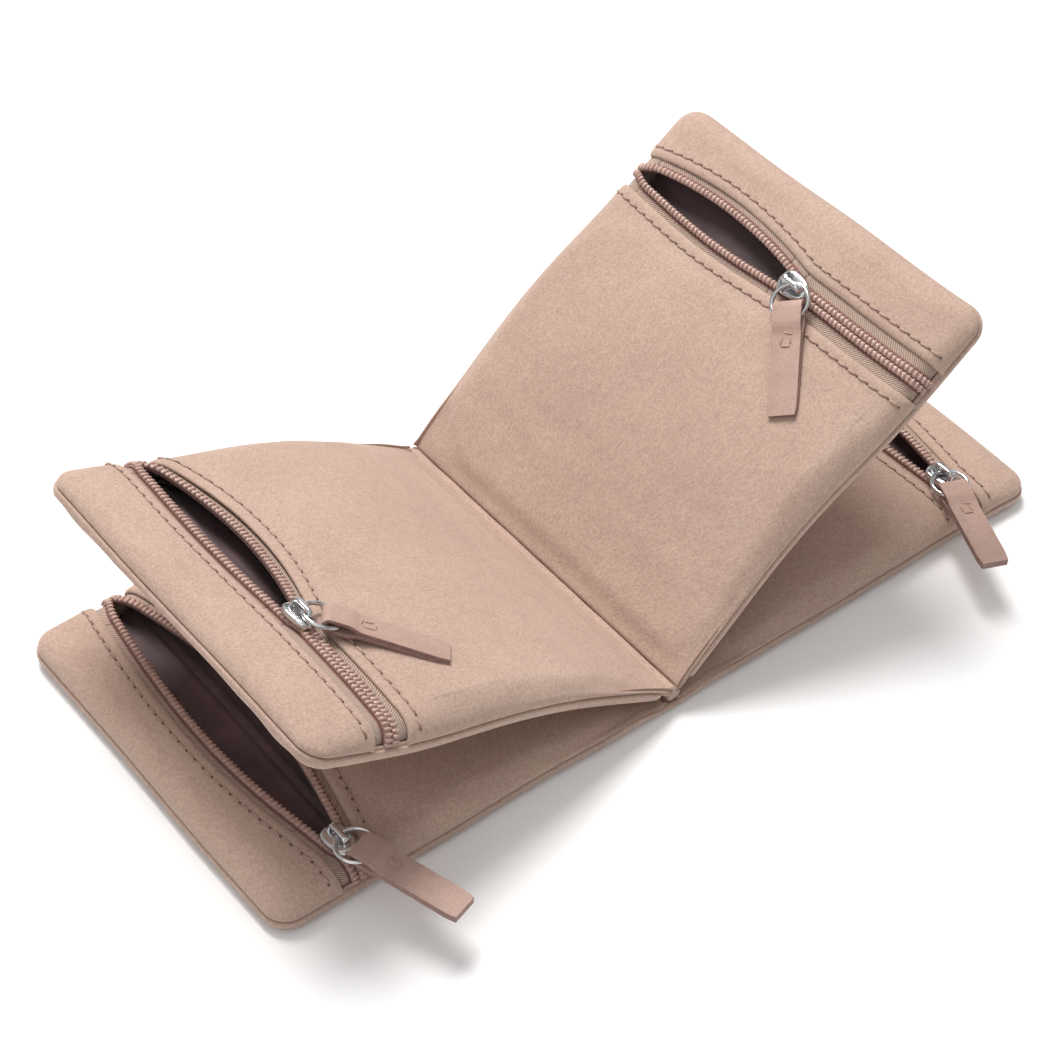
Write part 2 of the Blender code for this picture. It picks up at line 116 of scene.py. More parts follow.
class Leaf:
    def __init__(self, name, facts):
        self.__dict__.update(facts)
        self.name = name
        self.body = name + "_leaf"
        self.axis = case["upperAxis"] if self.upper else case["axisHeight"]
        self.zip = self.length - case["zipFromEnd"]
        low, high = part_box(name + "_slider")
        self.sliderY = (low.y + high.y) / 2
        self.cosine = math.cos(math.radians(self.angle))
        self.sine = math.sin(math.radians(self.angle))
        self.along = Vector((self.side * self.cosine, 0, self.sine))   # seam to free end
        self.normal = Vector((-self.side * self.sine, 0, self.cosine))  # back to front

    def place(self, p):
        # (s from the seam, y, n from the back) to the case's own frame
        p = np.asarray(p, float)
        s, y, n = p[..., 0], p[..., 1], p[..., 2]
        n = n + self.lift(s, y)
        reach = smooth(s / (25 * mm))
        ds = 0.7 * mm * wave(y / (38 * mm), s * 0, self.seed + 5) * reach
        dy = 0.9 * mm * wave(s / (33 * mm), y / (200 * mm), self.seed + 9) * reach
        nearSlider = np.exp(-(((s - self.zip) / (8 * mm)) ** 2) - ((y - self.sliderY) / (9 * mm)) ** 2)
        s = s + ds * (1 - nearSlider)
        y = y + dy * (1 - nearSlider)
        rise = n - self.axis
        return np.stack([self.side * (s * self.cosine - rise * self.sine), y,
                         case["axisHeight"] + s * self.sine + rise * self.cosine], -1)

    def lift(self, s, y):
        # an upper leaf stands like a page, a little arched and uneven
        arch = self.arch * (1 - np.cos(2 * np.pi * np.clip(s / (80 * mm), 0, 1))) / 2
        if not self.upper:
            return arch
        uneven = 0.5 * mm * wave(s / (55 * mm), y / (45 * mm), self.seed + 2)
        return arch + uneven * smooth(s / (30 * mm)) * smooth((self.zip - 8 * mm - s) / (20 * mm))

    def seamHeight(self, s):
        root = 2.3 * mm if self.upper else 1.5 * mm
        return border["seam"] + (root - border["seam"]) * (1 - smooth(s / (12 * mm)))

    def top(self, s, y):
        t = np.clip(s / case["swell"], 0, 1)
        rise = case["root"] + (case["middle"] - case["root"]) * (1 - (1 - t) ** (1.4 if self.upper else 1.2))
        fall = case["endDrop"] * smooth((s - (self.length - case["endRun"])) / case["endRun"])
        return rise - fall - case["sideDrop"] * (np.abs(y) / case["halfWidth"]) ** 5 * t

    def inset(self, s, y):
        # distance inwards from the leaf's outline
        deepY = case["halfWidth"] - np.abs(y)
        deepS = self.length - s
        a = np.maximum(case["corner"] - deepY, 0)
        b = np.maximum(case["corner"] - deepS, 0)
        return np.where((a > 0) & (b > 0), case["corner"] - np.hypot(a, b), np.minimum(deepY, deepS))

    def surface(self, s, y):
        e = np.clip(self.inset(s, y) / border["round"], 0, 1)
        share = (1 - (1 - e) ** border["power"]) ** (1 / border["power"])
        base = self.seamHeight(s) + border["lift"]
        return base + share * (self.top(s, y) - base)

    def opened(self, y):
        share = (case["zipEnd"] - y) / (case["zipEnd"] - self.sliderY)
        return np.where((share > 0) & (share < 1), np.sin(np.pi * np.clip(share, 0, 1)), 0.0)

    def bow(self, way, y):
        return (self.bowSeam if way < 0 else self.bowEnd) * self.opened(y)

    def leatherEdge(self, way, y):
        return self.zip + way * (case["tapeReach"] + self.bow(way, y))


leaves = {name: Leaf(name, facts) for name, facts in leafFacts.items()}


def addObject(name, mesh, *materials):
    made = bpy.data.objects.new(name, mesh)
    bpy.context.scene.collection.objects.link(made)
    for material in materials:
        mesh.materials.append(material)
    return made


def loftMesh(name, loops, attribute=None):
    # closed loops, one per place across, joined into a closed shell with capped ends
    loops = np.asarray(loops, float)
    count, n = loops.shape[:2]
    faces = []
    for j in range(count - 1):
        for i in range(n):
            k = (i + 1) % n
            faces.append((j * n + i, j * n + k, (j + 1) * n + k, (j + 1) * n + i))
    for j in (0, count - 1):
        base = j * n
        i, k = 0, n - 1
        while k - i > 2:
            faces.append((base + i, base + i + 1, base + k - 1, base + k))
            i, k = i + 1, k - 1
        if k - i == 2:
            faces.append((base + i, base + i + 1, base + k))
    mesh = bpy.data.meshes.new(name)
    mesh.from_pydata(loops.reshape(-1, 3).tolist(), [], faces)
    # the wear attribute marks the lighter rolled edges: worn nap with a painted highlight
    if attribute is not None:
        layer = mesh.attributes.new("wearAndHighlight", "FLOAT", "POINT")
        layer.data.foreach_set("value", np.asarray(attribute, np.float32).ravel())
    bm = bmesh.new()
    bm.from_mesh(mesh)
    bmesh.ops.recalc_face_normals(bm, faces=bm.faces)
    bm.to_mesh(mesh)
    bm.free()
    mesh.shade_smooth()
    return mesh


def gridMesh(name, grid, uv=None):
    rows, cols = grid.shape[:2]
    index = np.arange(rows * cols).reshape(rows, cols)
    faces = np.stack([index[:-1, :-1], index[1:, :-1], index[1:, 1:], index[:-1, 1:]], -1).reshape(-1, 4)
    mesh = bpy.data.meshes.new(name)
    mesh.from_pydata(grid.reshape(-1, 3).tolist(), [], faces.tolist())
    if uv is not None:
        layer = mesh.uv_layers.new(name="cloth")
        flat = uv.reshape(-1, 2)
        order = np.zeros(len(mesh.loops), np.int32)
        mesh.loops.foreach_get("vertex_index", order)
        layer.data.foreach_set("uv", flat[order].astype(np.float32).ravel())
    mesh.shade_smooth()
    return mesh


def normalsOf(grid):
    alongRows = np.gradient(grid, axis=0)
    alongCols = np.gradient(grid, axis=1)
    n = np.cross(alongRows, alongCols)
    size = np.linalg.norm(n, axis=-1, keepdims=True)
    return n / np.maximum(size, 1e-12)


def shellLoops(top, thickness, roundEdge):
    # outer grid (rows along the leaf, columns across) to closed loops, the last row's edge rolled
    normal = normalsOf(top)
    under = top - normal * thickness
    middle = (top[-1] + under[-1]) / 2
    outward = top[-1] - top[-2]
    outward = outward / np.linalg.norm(outward, axis=-1, keepdims=True)
    half = thickness / 2
    roll = []
    for k in range(1, roundEdge + 1):
        turn = math.pi * k / (roundEdge + 1)
        roll.append(middle + half * (math.cos(turn) * normal[-1] + math.sin(turn) * outward))
    rows = np.concatenate([top, np.array(roll).reshape(-1, *top.shape[1:]), under[::-1]])
    return rows.transpose(1, 0, 2)


cloth = {"scale": 10.0, "frames": 18, "press": 3.2, "grow": 0.035, "cap": 0.9 * mm, "quality": 5,
         "smooth": 6}


def relaxed(name, grid, held, press):
    # the leather panel as cloth held along its seams, pressed out from behind and cut a little full
    scene = bpy.context.scene
    sim = addObject(name + "_sim", gridMesh(name + "_sim", grid * cloth["scale"]))
    group = sim.vertex_groups.new(name="held")
    group.add([int(i) for i in np.flatnonzero(held.ravel())], 1.0, "REPLACE")
    modifier = sim.modifiers.new("cloth", "CLOTH")
    facts = modifier.settings
    facts.quality = cloth["quality"]
    facts.mass = 0.25
    facts.tension_stiffness = facts.compression_stiffness = 18
    facts.shear_stiffness = 8
    facts.bending_stiffness = 1.5
    facts.vertex_group_mass = "held"
    facts.use_pressure = True
    facts.uniform_pressure_force = press
    facts.shrink_min = -cloth["grow"]
    facts.effector_weights.gravity = 0
    modifier.collision_settings.use_collision = False
    modifier.collision_settings.use_self_collision = False
    modifier.point_cache.frame_start = 1
    modifier.point_cache.frame_end = cloth["frames"]
    for number in range(1, cloth["frames"] + 1):
        scene.frame_set(number)
    shape = sim.evaluated_get(bpy.context.evaluated_depsgraph_get()).data
    flat = np.zeros(len(shape.vertices) * 3)
    shape.vertices.foreach_get("co", flat)
    bpy.data.objects.remove(sim, do_unlink=True)
    scene.frame_set(1)
    move = flat.reshape(grid.shape) / cloth["scale"] - grid
    loose = ~held.reshape(grid.shape[:2])[1:-1, 1:-1, None]
    for _ in range(cloth["smooth"]):  # irons out small buckles between neighbouring rows
        around = (move[:-2, 1:-1] + move[2:, 1:-1] + move[1:-1, :-2] + move[1:-1, 2:]) / 4
        move[1:-1, 1:-1] = np.where(loose, around, move[1:-1, 1:-1])
    size = np.linalg.norm(move, axis=-1, keepdims=True)
    print("relaxed", name, "mean mm", round(float(size.mean()) / mm, 2),
          "max", round(float(size.max()) / mm, 2))
    return grid + move * np.minimum(1, cloth["cap"] / np.maximum(size, 1e-9))


def addNode(tree, kind, place, **values):
    node = tree.nodes.new(kind)
    node.location = place
    for key, value in values.items():
        if key in node.inputs:
            node.inputs[key].default_value = value
        else:
            setattr(node, key, value)
    return node


def newMaterial(name, colour, roughness, metallic=0.0):
    material = bpy.data.materials.new(name)
    material.use_nodes = True
    material.diffuse_color = (*colour, 1)
    shader = material.node_tree.nodes["Principled BSDF"]
    shader.inputs["Base Color"].default_value = (*colour, 1)
    shader.inputs["Roughness"].default_value = roughness
    shader.inputs["Metallic"].default_value = metallic
    return material, material.node_tree, shader


def noiseNode(tree, source, scale, detail, place, stretch=None, roughness=0.55):
    made = addNode(tree, "ShaderNodeTexNoise", place, Scale=scale, Detail=detail, Roughness=roughness)
    if stretch:
        mapping = addNode(tree, "ShaderNodeMapping", (place[0] - 200, place[1]), Scale=stretch)
        tree.links.new(source, mapping.inputs["Vector"])
        source = mapping.outputs["Vector"]
    tree.links.new(source, made.inputs["Vector"])
    return made


def rampNode(tree, source, stops, place):
    made = addNode(tree, "ShaderNodeValToRGB", place)
    tree.links.new(source, made.inputs["Fac"])
    elements = made.color_ramp.elements
    while len(elements) < len(stops):
        elements.new(0.5)
    for element, (position, colour) in zip(elements, stops):
        element.position = position
        element.color = (*colour, 1)
    return made


def mixColours(tree, kind, factor, first, second, place):
    made = addNode(tree, "ShaderNodeMix", place, data_type="RGBA", blend_type=kind)
    for socket, value in ((made.inputs[0], factor), (made.inputs[6], first), (made.inputs[7], second)):
        if isinstance(value, bpy.types.NodeSocket):
            tree.links.new(value, socket)
        elif isinstance(value, tuple):
            socket.default_value = (*value, 1)
        else:
            socket.default_value = value
    return made.outputs[2]


def addBump(tree, shader, heights, place):
    # heights: (socket, distance in metres, strength) chained from the first to the last
    last = None
    for i, (socket, distance, strength) in enumerate(heights):
        bump = addNode(tree, "ShaderNodeBump", (place[0] + 180 * i, place[1]), Distance=distance,
                       Strength=strength)
        tree.links.new(socket, bump.inputs["Height"])
        if last:
            tree.links.new(last, bump.inputs["Normal"])
        last = bump.outputs["Normal"]
    tree.links.new(last, shader.inputs["Normal"])


# the worn colour is the lighter rolled edge: worn nap together with a painted highlight
nubuck = {"light": (0.50, 0.365, 0.295), "dark": (0.365, 0.255, 0.205), "wornAndHighlit": (0.56, 0.425, 0.352),
          "grain": 1700, "patch": 420, "cloud": 38}


def nubuckMaterial(name):
    material, tree, shader = newMaterial(name, nubuck["light"], 0.88)
    where = addNode(tree, "ShaderNodeTexCoord", (-1200, 0)).outputs["Object"]
    grain = noiseNode(tree, where, nubuck["grain"], 4, (-900, 300), roughness=0.7)
    patch = noiseNode(tree, where, nubuck["patch"], 5, (-900, 0), roughness=0.65)
    cloud = noiseNode(tree, where, nubuck["cloud"], 3, (-900, -300))
    fine = rampNode(tree, grain.outputs["Fac"], [(0.30, nubuck["dark"]), (0.62, nubuck["light"])],
                    (-600, 300))
    mottled = rampNode(tree, patch.outputs["Fac"], [(0.34, (0.96, 0.95, 0.945)), (0.64, (1.03, 1.025, 1.02))],
                       (-600, 0))
    shaded = rampNode(tree, cloud.outputs["Fac"], [(0.30, (0.95, 0.92, 0.92)), (0.70, (1.03, 1.03, 1.03))],
                      (-600, -300))
    colour = mixColours(tree, "MULTIPLY", 1.0, fine.outputs["Color"], mottled.outputs["Color"], (-300, 200))
    colour = mixColours(tree, "MULTIPLY", 1.0, colour, shaded.outputs["Color"], (-120, 200))
    # lighter rolled edges: partly real wear of the nap, partly a painted highlight
    wearAndHighlight = addNode(tree, "ShaderNodeAttribute", (-600, -600), attribute_name="wearAndHighlight")
    rubbedAndHighlit = mixColours(tree, "MIX", wearAndHighlight.outputs["Fac"], colour, nubuck["wornAndHighlit"], (60, 200))
    tree.links.new(rubbedAndHighlit, shader.inputs["Base Color"])
    shader.inputs["Sheen Weight"].default_value = 0.35
    shader.inputs["Sheen Roughness"].default_value = 0.45
    shader.inputs["Sheen Tint"].default_value = (0.95, 0.82, 0.76, 1)
    shader.inputs["Specular IOR Level"].default_value = 0.2
    addBump(tree, shader, [(patch.outputs["Fac"], 0.0012, 0.16), (grain.outputs["Fac"], 0.00016, 0.55)],
            (-200, -400))
    return material


def tabMaterial(name):
    material, tree, shader = newMaterial(name, (0.52, 0.33, 0.265), 0.55)
    where = addNode(tree, "ShaderNodeTexCoord", (-1000, 0)).outputs["Object"]
    grain = noiseNode(tree, where, 1900, 4, (-700, 200), roughness=0.6)
    cloud = noiseNode(tree, where, 160, 3, (-700, -100))
    tone = rampNode(tree, grain.outputs["Fac"], [(0.3, (0.37, 0.24, 0.198)), (0.7, (0.46, 0.31, 0.258))],
                    (-400, 200))
    soft = rampNode(tree, cloud.outputs["Fac"], [(0.3, (0.92, 0.91, 0.90)), (0.7, (1.05, 1.05, 1.05))],
                    (-400, -100))
    tree.links.new(mixColours(tree, "MULTIPLY", 1.0, tone.outputs["Color"], soft.outputs["Color"],
                              (-100, 100)),
                   shader.inputs["Base Color"])
    shader.inputs["Specular IOR Level"].default_value = 0.35
    shader.inputs["Sheen Weight"].default_value = 0.12
    addBump(tree, shader, [(cloud.outputs["Fac"], 0.0008, 0.2), (grain.outputs["Fac"], 0.00008, 0.35)],
            (-200, -300))
    return material


def edgeMaterial(name):
    # painted cut edge of the tab's leather, with the fibres showing through
    material, tree, shader = newMaterial(name, (0.36, 0.20, 0.17), 0.6)
    where = addNode(tree, "ShaderNodeTexCoord", (-900, 0)).outputs["Object"]
    streak = noiseNode(tree, where, 900, 4, (-600, 0), roughness=0.7)
    tone = rampNode(tree, streak.outputs["Fac"], [(0.35, (0.20, 0.105, 0.092)), (0.7, (0.34, 0.21, 0.175))],
                    (-300, 0))
    tree.links.new(tone.outputs["Color"], shader.inputs["Base Color"])
    addBump(tree, shader, [(streak.outputs["Fac"], 0.0001, 0.5)], (-300, -300))
    return material


def liningMaterial(name):
    material, tree, shader = newMaterial(name, (0.115, 0.052, 0.055), 0.5)
    where = addNode(tree, "ShaderNodeTexCoord", (-1000, 0))
    weave = addNode(tree, "ShaderNodeTexWave", (-700, 200), Scale=1700, Distortion=0.4)
    tree.links.new(where.outputs["Object"], weave.inputs["Vector"])
    cloud = noiseNode(tree, where.outputs["Object"], 90, 4, (-700, -150))
    tone = rampNode(tree, cloud.outputs["Fac"], [(0.3, (0.058, 0.029, 0.030)), (0.72, (0.115, 0.056, 0.059))],
                    (-400, 0))
    tree.links.new(tone.outputs["Color"], shader.inputs["Base Color"])
    shader.inputs["Sheen Weight"].default_value = 0.25
    addBump(tree, shader, [(cloud.outputs["Fac"], 0.0012, 0.4), (weave.outputs["Fac"], 0.00005, 0.5)],
            (-300, -300))
    return material


tapeFinish = {"ribs": 620, "tilt": 0.62, "light": (0.52, 0.39, 0.315), "dark": (0.29, 0.195, 0.155),
              "line": (0.22, 0.09, 0.075)}


def tapeMaterial(name):
    # twill ribs run slanting across the tape; a dark sewing line lies beside the coil (v = 0)
    material, tree, shader = newMaterial(name, tapeFinish["light"], 0.8)
    uv = addNode(tree, "ShaderNodeUVMap", (-1300, 0), uv_map="cloth").outputs["UV"]
    turned = addNode(tree, "ShaderNodeMapping", (-1100, 200), Rotation=(0, 0, tapeFinish["tilt"]))
    tree.links.new(uv, turned.inputs["Vector"])
    ribs = addNode(tree, "ShaderNodeTexWave", (-900, 200), Scale=tapeFinish["ribs"], Distortion=1.2,
                   Detail=1.0)
    tree.links.new(turned.outputs["Vector"], ribs.inputs["Vector"])
    where = addNode(tree, "ShaderNodeTexCoord", (-1300, -300)).outputs["Object"]
    fuzz = noiseNode(tree, where, 2400, 3, (-900, -200))
    tone = rampNode(tree, ribs.outputs["Fac"], [(0.15, tapeFinish["dark"]), (0.6, tapeFinish["light"])],
                    (-600, 200))
    mottled = rampNode(tree, fuzz.outputs["Fac"], [(0.3, (0.85, 0.84, 0.83)), (0.7, (1.08, 1.07, 1.06))],
                       (-600, -100))
    colour = mixColours(tree, "MULTIPLY", 1.0, tone.outputs["Color"], mottled.outputs["Color"], (-300, 100))
    split = addNode(tree, "ShaderNodeSeparateXYZ", (-900, -500))
    tree.links.new(uv, split.inputs["Vector"])
    beside = addNode(tree, "ShaderNodeMapRange", (-600, -500))
    beside.inputs["From Min"].default_value = 0.00055
    beside.inputs["From Max"].default_value = 0.0002
    tree.links.new(split.outputs["Y"], beside.inputs["Value"])
    lined = mixColours(tree, "MIX", beside.outputs["Result"], colour, tapeFinish["line"], (-100, 100))
    tree.links.new(lined, shader.inputs["Base Color"])
    shader.inputs["Sheen Weight"].default_value = 0.2
    addBump(tree, shader, [(ribs.outputs["Fac"], 0.00022, 0.7), (fuzz.outputs["Fac"], 0.00008, 0.4)],
            (-300, -300))
    return material


def coilMaterial(name):
    material, tree, shader = newMaterial(name, (0.60, 0.39, 0.32), 0.35)
    where = addNode(tree, "ShaderNodeTexCoord", (-900, 0)).outputs["Object"]
    cloud = noiseNode(tree, where, 700, 3, (-600, 0))
    tone = rampNode(tree, cloud.outputs["Fac"], [(0.3, (0.38, 0.235, 0.195)), (0.7, (0.50, 0.335, 0.285))],
                    (-300, 0))
    tree.links.new(tone.outputs["Color"], shader.inputs["Base Color"])
    shader.inputs["Subsurface Weight"].default_value = 0.08
    shader.inputs["Subsurface Radius"].default_value = (0.0006, 0.0004, 0.0003)
    addBump(tree, shader, [(cloud.outputs["Fac"], 0.0001, 0.3)], (-300, -300))
    return material


def nickelMaterial(name):
    material, tree, shader = newMaterial(name, (0.66, 0.66, 0.67), 0.12, 1.0)
    where = addNode(tree, "ShaderNodeTexCoord", (-900, 0)).outputs["Object"]
    smear = noiseNode(tree, where, 420, 4, (-600, 0))
    rough = addNode(tree, "ShaderNodeMapRange", (-300, -100))
    rough.inputs["To Min"].default_value = 0.07
    rough.inputs["To Max"].default_value = 0.26
    tree.links.new(smear.outputs["Fac"], rough.inputs["Value"])
    tree.links.new(rough.outputs["Result"], shader.inputs["Roughness"])
    addBump(tree, shader, [(smear.outputs["Fac"], 0.00025, 0.25)], (-300, -300))
    return material


def threadMaterial(name, colour):
    material, tree, shader = newMaterial(name, colour, 0.6)
    where = addNode(tree, "ShaderNodeTexCoord", (-900, 0)).outputs["Object"]
    twist = noiseNode(tree, where, 3200, 2, (-600, 0))
    darker = tuple(c * 0.72 for c in colour)
    lighter = tuple(min(1, c * 1.12) for c in colour)
    tone = rampNode(tree, twist.outputs["Fac"], [(0.35, darker), (0.65, lighter)], (-300, 0))
    tree.links.new(tone.outputs["Color"], shader.inputs["Base Color"])
    addBump(tree, shader, [(twist.outputs["Fac"], 0.00008, 0.5)], (-300, -300))
    return material


leatherFinish = nubuckMaterial("nubuck")
tabFinish = tabMaterial("smooth tab leather")
edgeFinish = edgeMaterial("painted edge")
liningFinish = liningMaterial("satin lining")
tapeClothFinish = tapeMaterial("zip tape twill")
coilFinish = coilMaterial("nylon coil")
nickelFinish = nickelMaterial("bright nickel")
threadFinish = threadMaterial("sewing thread", (0.43, 0.285, 0.225))
# the needle holes' dark colour is painted shade in the pits
needleHoleShadeFinish = threadMaterial("needle hole", (0.16, 0.085, 0.07))
print("materials made")


def beadTree():
    tree = bpy.data.node_groups.new("beads along a line", "GeometryNodeTree")
    face = tree.interface
    face.new_socket("Geometry", in_out="INPUT", socket_type="NodeSocketGeometry")
    for name in ("Length", "Width", "Height"):
        face.new_socket(name, in_out="INPUT", socket_type="NodeSocketFloat")
    for name in ("Sides", "Rings"):
        face.new_socket(name, in_out="INPUT", socket_type="NodeSocketInt")
    face.new_socket("Finish", in_out="INPUT", socket_type="NodeSocketMaterial")
    face.new_socket("Geometry", in_out="OUTPUT", socket_type="NodeSocketGeometry")
    given = tree.nodes.new("NodeGroupInput")
    result = tree.nodes.new("NodeGroupOutput")
    ball = addNode(tree, "GeometryNodeMeshUVSphere", (-600, 200))
    ball.inputs["Radius"].default_value = 0.5
    size = addNode(tree, "ShaderNodeCombineXYZ", (-600, 0))
    shaped = addNode(tree, "GeometryNodeTransform", (-400, 200))
    along = addNode(tree, "GeometryNodeInputNamedAttribute", (-800, -200), data_type="FLOAT_VECTOR")
    along.inputs["Name"].default_value = "along"
    up = addNode(tree, "GeometryNodeInputNamedAttribute", (-800, -400), data_type="FLOAT_VECTOR")
    up.inputs["Name"].default_value = "up"
    share = addNode(tree, "GeometryNodeInputNamedAttribute", (-800, -600), data_type="FLOAT_VECTOR")
    share.inputs["Name"].default_value = "share"
    first = addNode(tree, "FunctionNodeAlignRotationToVector", (-500, -200), axis="X")
    second = addNode(tree, "FunctionNodeAlignRotationToVector", (-300, -300), axis="Z", pivot_axis="X")
    spread = addNode(tree, "GeometryNodeInstanceOnPoints", (-100, 100))
    real = addNode(tree, "GeometryNodeRealizeInstances", (100, 100))
    soft = addNode(tree, "GeometryNodeSetShadeSmooth", (250, 100))
    painted = addNode(tree, "GeometryNodeSetMaterial", (400, 100))
    link = tree.links.new
    link(given.outputs["Sides"], ball.inputs["Segments"])
    link(given.outputs["Rings"], ball.inputs["Rings"])
    for name, axis in (("Length", "X"), ("Width", "Y"), ("Height", "Z")):
        link(given.outputs[name], size.inputs[axis])
    link(ball.outputs["Mesh"], shaped.inputs["Geometry"])
    link(size.outputs["Vector"], shaped.inputs["Scale"])
    link(along.outputs["Attribute"], first.inputs["Vector"])
    link(first.outputs["Rotation"], second.inputs["Rotation"])
    link(up.outputs["Attribute"], second.inputs["Vector"])
    link(given.outputs["Geometry"], spread.inputs["Points"])
    link(shaped.outputs["Geometry"], spread.inputs["Instance"])
    link(second.outputs["Rotation"], spread.inputs["Rotation"])
    link(share.outputs["Attribute"], spread.inputs["Scale"])
    link(spread.outputs["Instances"], real.inputs["Geometry"])
    link(real.outputs["Geometry"], soft.inputs["Geometry"])
    link(soft.outputs["Geometry"], painted.inputs["Geometry"])
    link(given.outputs["Finish"], painted.inputs["Material"])
    link(painted.outputs["Geometry"], result.inputs["Geometry"])
    return tree


beads = beadTree()


def beadPiece(name, points, along, up, share, **values):
    # a bead at each point, turned along the line, made a plain mesh
    mesh = bpy.data.meshes.new(name)
    mesh.from_pydata(np.asarray(points, float).tolist(), [], [])
    for key, data in (("along", along), ("up", up), ("share", share)):
        layer = mesh.attributes.new(key, "FLOAT_VECTOR", "POINT")
        layer.data.foreach_set("vector", np.asarray(data, np.float32).ravel())
    seed = addObject(name + "_points", mesh)
    modifier = seed.modifiers.new("beads", "NODES")
    modifier.node_group = beads
    for item in beads.interface.items_tree:
        if item.in_out == "INPUT" and item.name in values:
            modifier[item.identifier] = values[item.name]
    made = bpy.data.meshes.new_from_object(seed.evaluated_get(bpy.context.evaluated_depsgraph_get()))
    bpy.data.objects.remove(seed, do_unlink=True)
    made.name = name
    made.materials.clear()
    made.materials.append(values["Finish"])
    for extra in [a.name for a in made.attributes if a.name in ("along", "up", "share")]:
        made.attributes.remove(made.attributes[extra])
    return addObject(name, made)


def directions(points, leaf):
    along = np.gradient(points, axis=0)
    along /= np.maximum(np.linalg.norm(along, axis=1, keepdims=True), 1e-9)
    up = np.tile(np.array(leaf.normal), (len(points), 1))
    up = up - along * (up * along).sum(1, keepdims=True)
    return along, up / np.linalg.norm(up, axis=1, keepdims=True)


skin = {"across": 44, "step": 1.8 * mm, "leather": 1.0 * mm, "stitchBack": 2.3 * mm}


def columnsOf(table):
    # border table index or -1, side, and place across, for every column
    half = case["halfWidth"] - case["corner"]
    inner = np.linspace(-half, half, skin["across"] + 1)
    k = len(table)
    index = np.concatenate([np.arange(k), -np.ones(len(inner)), np.arange(k)[::-1]]).astype(int)
    sign = np.concatenate([-np.ones(k), np.zeros(len(inner)), np.ones(k)])
    place = np.concatenate([np.zeros(k), inner, np.zeros(k)])
    return index, sign, place


def bordered(leaf, table, rowPlace, rowIndex):
    # grid of (s, y) with the sides, and rows with an index at the free end, following the outline
    colIndex, sign, colPlace = columnsOf(table)
    k = len(table)
    grid = np.zeros((len(rowPlace), len(colPlace), 4))
    r0 = case["corner"]
    for i, (s, ri) in enumerate(zip(rowPlace, rowIndex)):
        for j, (y, ci) in enumerate(zip(colPlace, colIndex)):
            mRow = 0 if ri < 0 else 1 - ri / k
            mCol = 0 if ci < 0 else 1 - ci / k
            most = max(mRow, mCol)
            if most == 0:
                grid[i, j] = (s, y, -1, case["corner"])
                continue
            at = min(x for x in (ri, ci) if x >= 0)
            reach = r0 - table[at][0]
            if mRow > 0 and mCol > 0:
                turn = math.pi / 4 * mRow / mCol if mCol >= mRow else math.pi / 2 - math.pi / 4 * mCol / mRow
                grid[i, j] = (leaf.length - r0 + reach * math.sin(turn),
                              sign[j] * (case["halfWidth"] - r0 + reach * math.cos(turn)), at, table[at][0])
            elif mCol > 0:
                grid[i, j] = (s, sign[j] * (case["halfWidth"] - r0 + reach), at, table[at][0])
            else:
                grid[i, j] = (leaf.length - r0 + reach, y, at, table[at][0])
    return grid


def relief(leaf, s, y):
    # soft lumps, and creases that run along the crease of the case where the leather is bent
    lumps = 0.6 * wave(s / (27 * mm), y / (33 * mm), leaf.seed)
    lumps = lumps + 0.28 * wave(s / (11 * mm), y / (15 * mm), leaf.seed + 1)
    folds = 1 - np.abs(wave(s / (8 * mm), y / (42 * mm), leaf.seed + 3)) * 2.2
    creases = 0.35 * folds * np.exp(-((s - 16 * mm) / (13 * mm)) ** 2)
    fans = 0.22 * (1 - np.abs(wave(s / (34 * mm), y / (9 * mm), leaf.seed + 4)) * 2)
    fans = fans * np.exp(-(s / (14 * mm)) ** 2)
    # the leather lies calmer on the zip tape and where the case is sewn through
    calm = 1 - 0.65 * np.exp(-((s - leaf.zip) / (13 * mm)) ** 2)
    return (lumps + creases + fans) * mm * calm * smooth((s - 2 * mm) / (24 * mm))


def frontGrid(leaf, table, rowPlace, rowIndex, edgeWay):
    # heights for a front skin; edgeWay, meant to say on which side of it the zip is, is not used
    grid = bordered(leaf, table, rowPlace[0] if rowPlace.ndim > 1 else rowPlace, rowIndex)
    if rowPlace.ndim > 1:
        inside = rowIndex < 0
        for j in range(grid.shape[1]):
            rows = np.flatnonzero(inside)
            grid[rows, j, 0] = rowPlace[j, rows]
    s, y, at = grid[..., 0], grid[..., 1], grid[..., 2].astype(int)
    seam = leaf.seamHeight(s)
    top = leaf.top(s, y) + relief(leaf, s, y) * smooth((leaf.inset(s, y)) / (9 * mm))
    lift = np.where(at >= 0, table[np.maximum(at, 0), 1], border["lift"])
    share = np.where(at >= 0, table[np.maximum(at, 0), 2], 1.0)
    base = seam + lift
    return np.stack([s, y, base + share * (top - base)], -1), at


def edgeRows(leaf, way, y, start, stop):
    # places along the leaf for one column, closer by the zip; way -1 is the front panel
    offsets = np.array([3.6, skin["stitchBack"] / mm, 1.5, 0.9, 0.4, 0.0]) * mm
    edge = leaf.leatherEdge(way, y)
    if way < 0:
        inner = np.linspace(start, edge - 5.2 * mm, stop)
        return np.concatenate([inner, edge - offsets])
    squeeze = min(1.0, (start - 0.4 * mm - edge) / (5.4 * mm))
    inner = np.linspace(edge + 5.2 * mm * squeeze, start, stop)
    return np.concatenate([(edge + offsets * squeeze)[::-1], inner])


def shapeEdge(leaf, grid, way):
    # the stitched channel, the turned edge standing up beside it, then down to the tape
    edge = leaf.leatherEdge(way, grid[..., 1])
    away = (edge - grid[..., 0]) * (-way) * -1
    channel = 0.34 * mm * np.exp(-(((away - skin["stitchBack"]) / (0.75 * mm)) ** 2))
    ridge = 0.32 * mm * np.exp(-(((away - 0.95 * mm) / (0.6 * mm)) ** 2))
    drop = 0.45 * mm * np.exp(-((away / (0.45 * mm)) ** 2))
    pillow = 0.25 * mm * np.exp(-(((away - 4.4 * mm) / (1.6 * mm)) ** 2))
    grid[..., 2] += -channel + ridge - drop + pillow
    return away


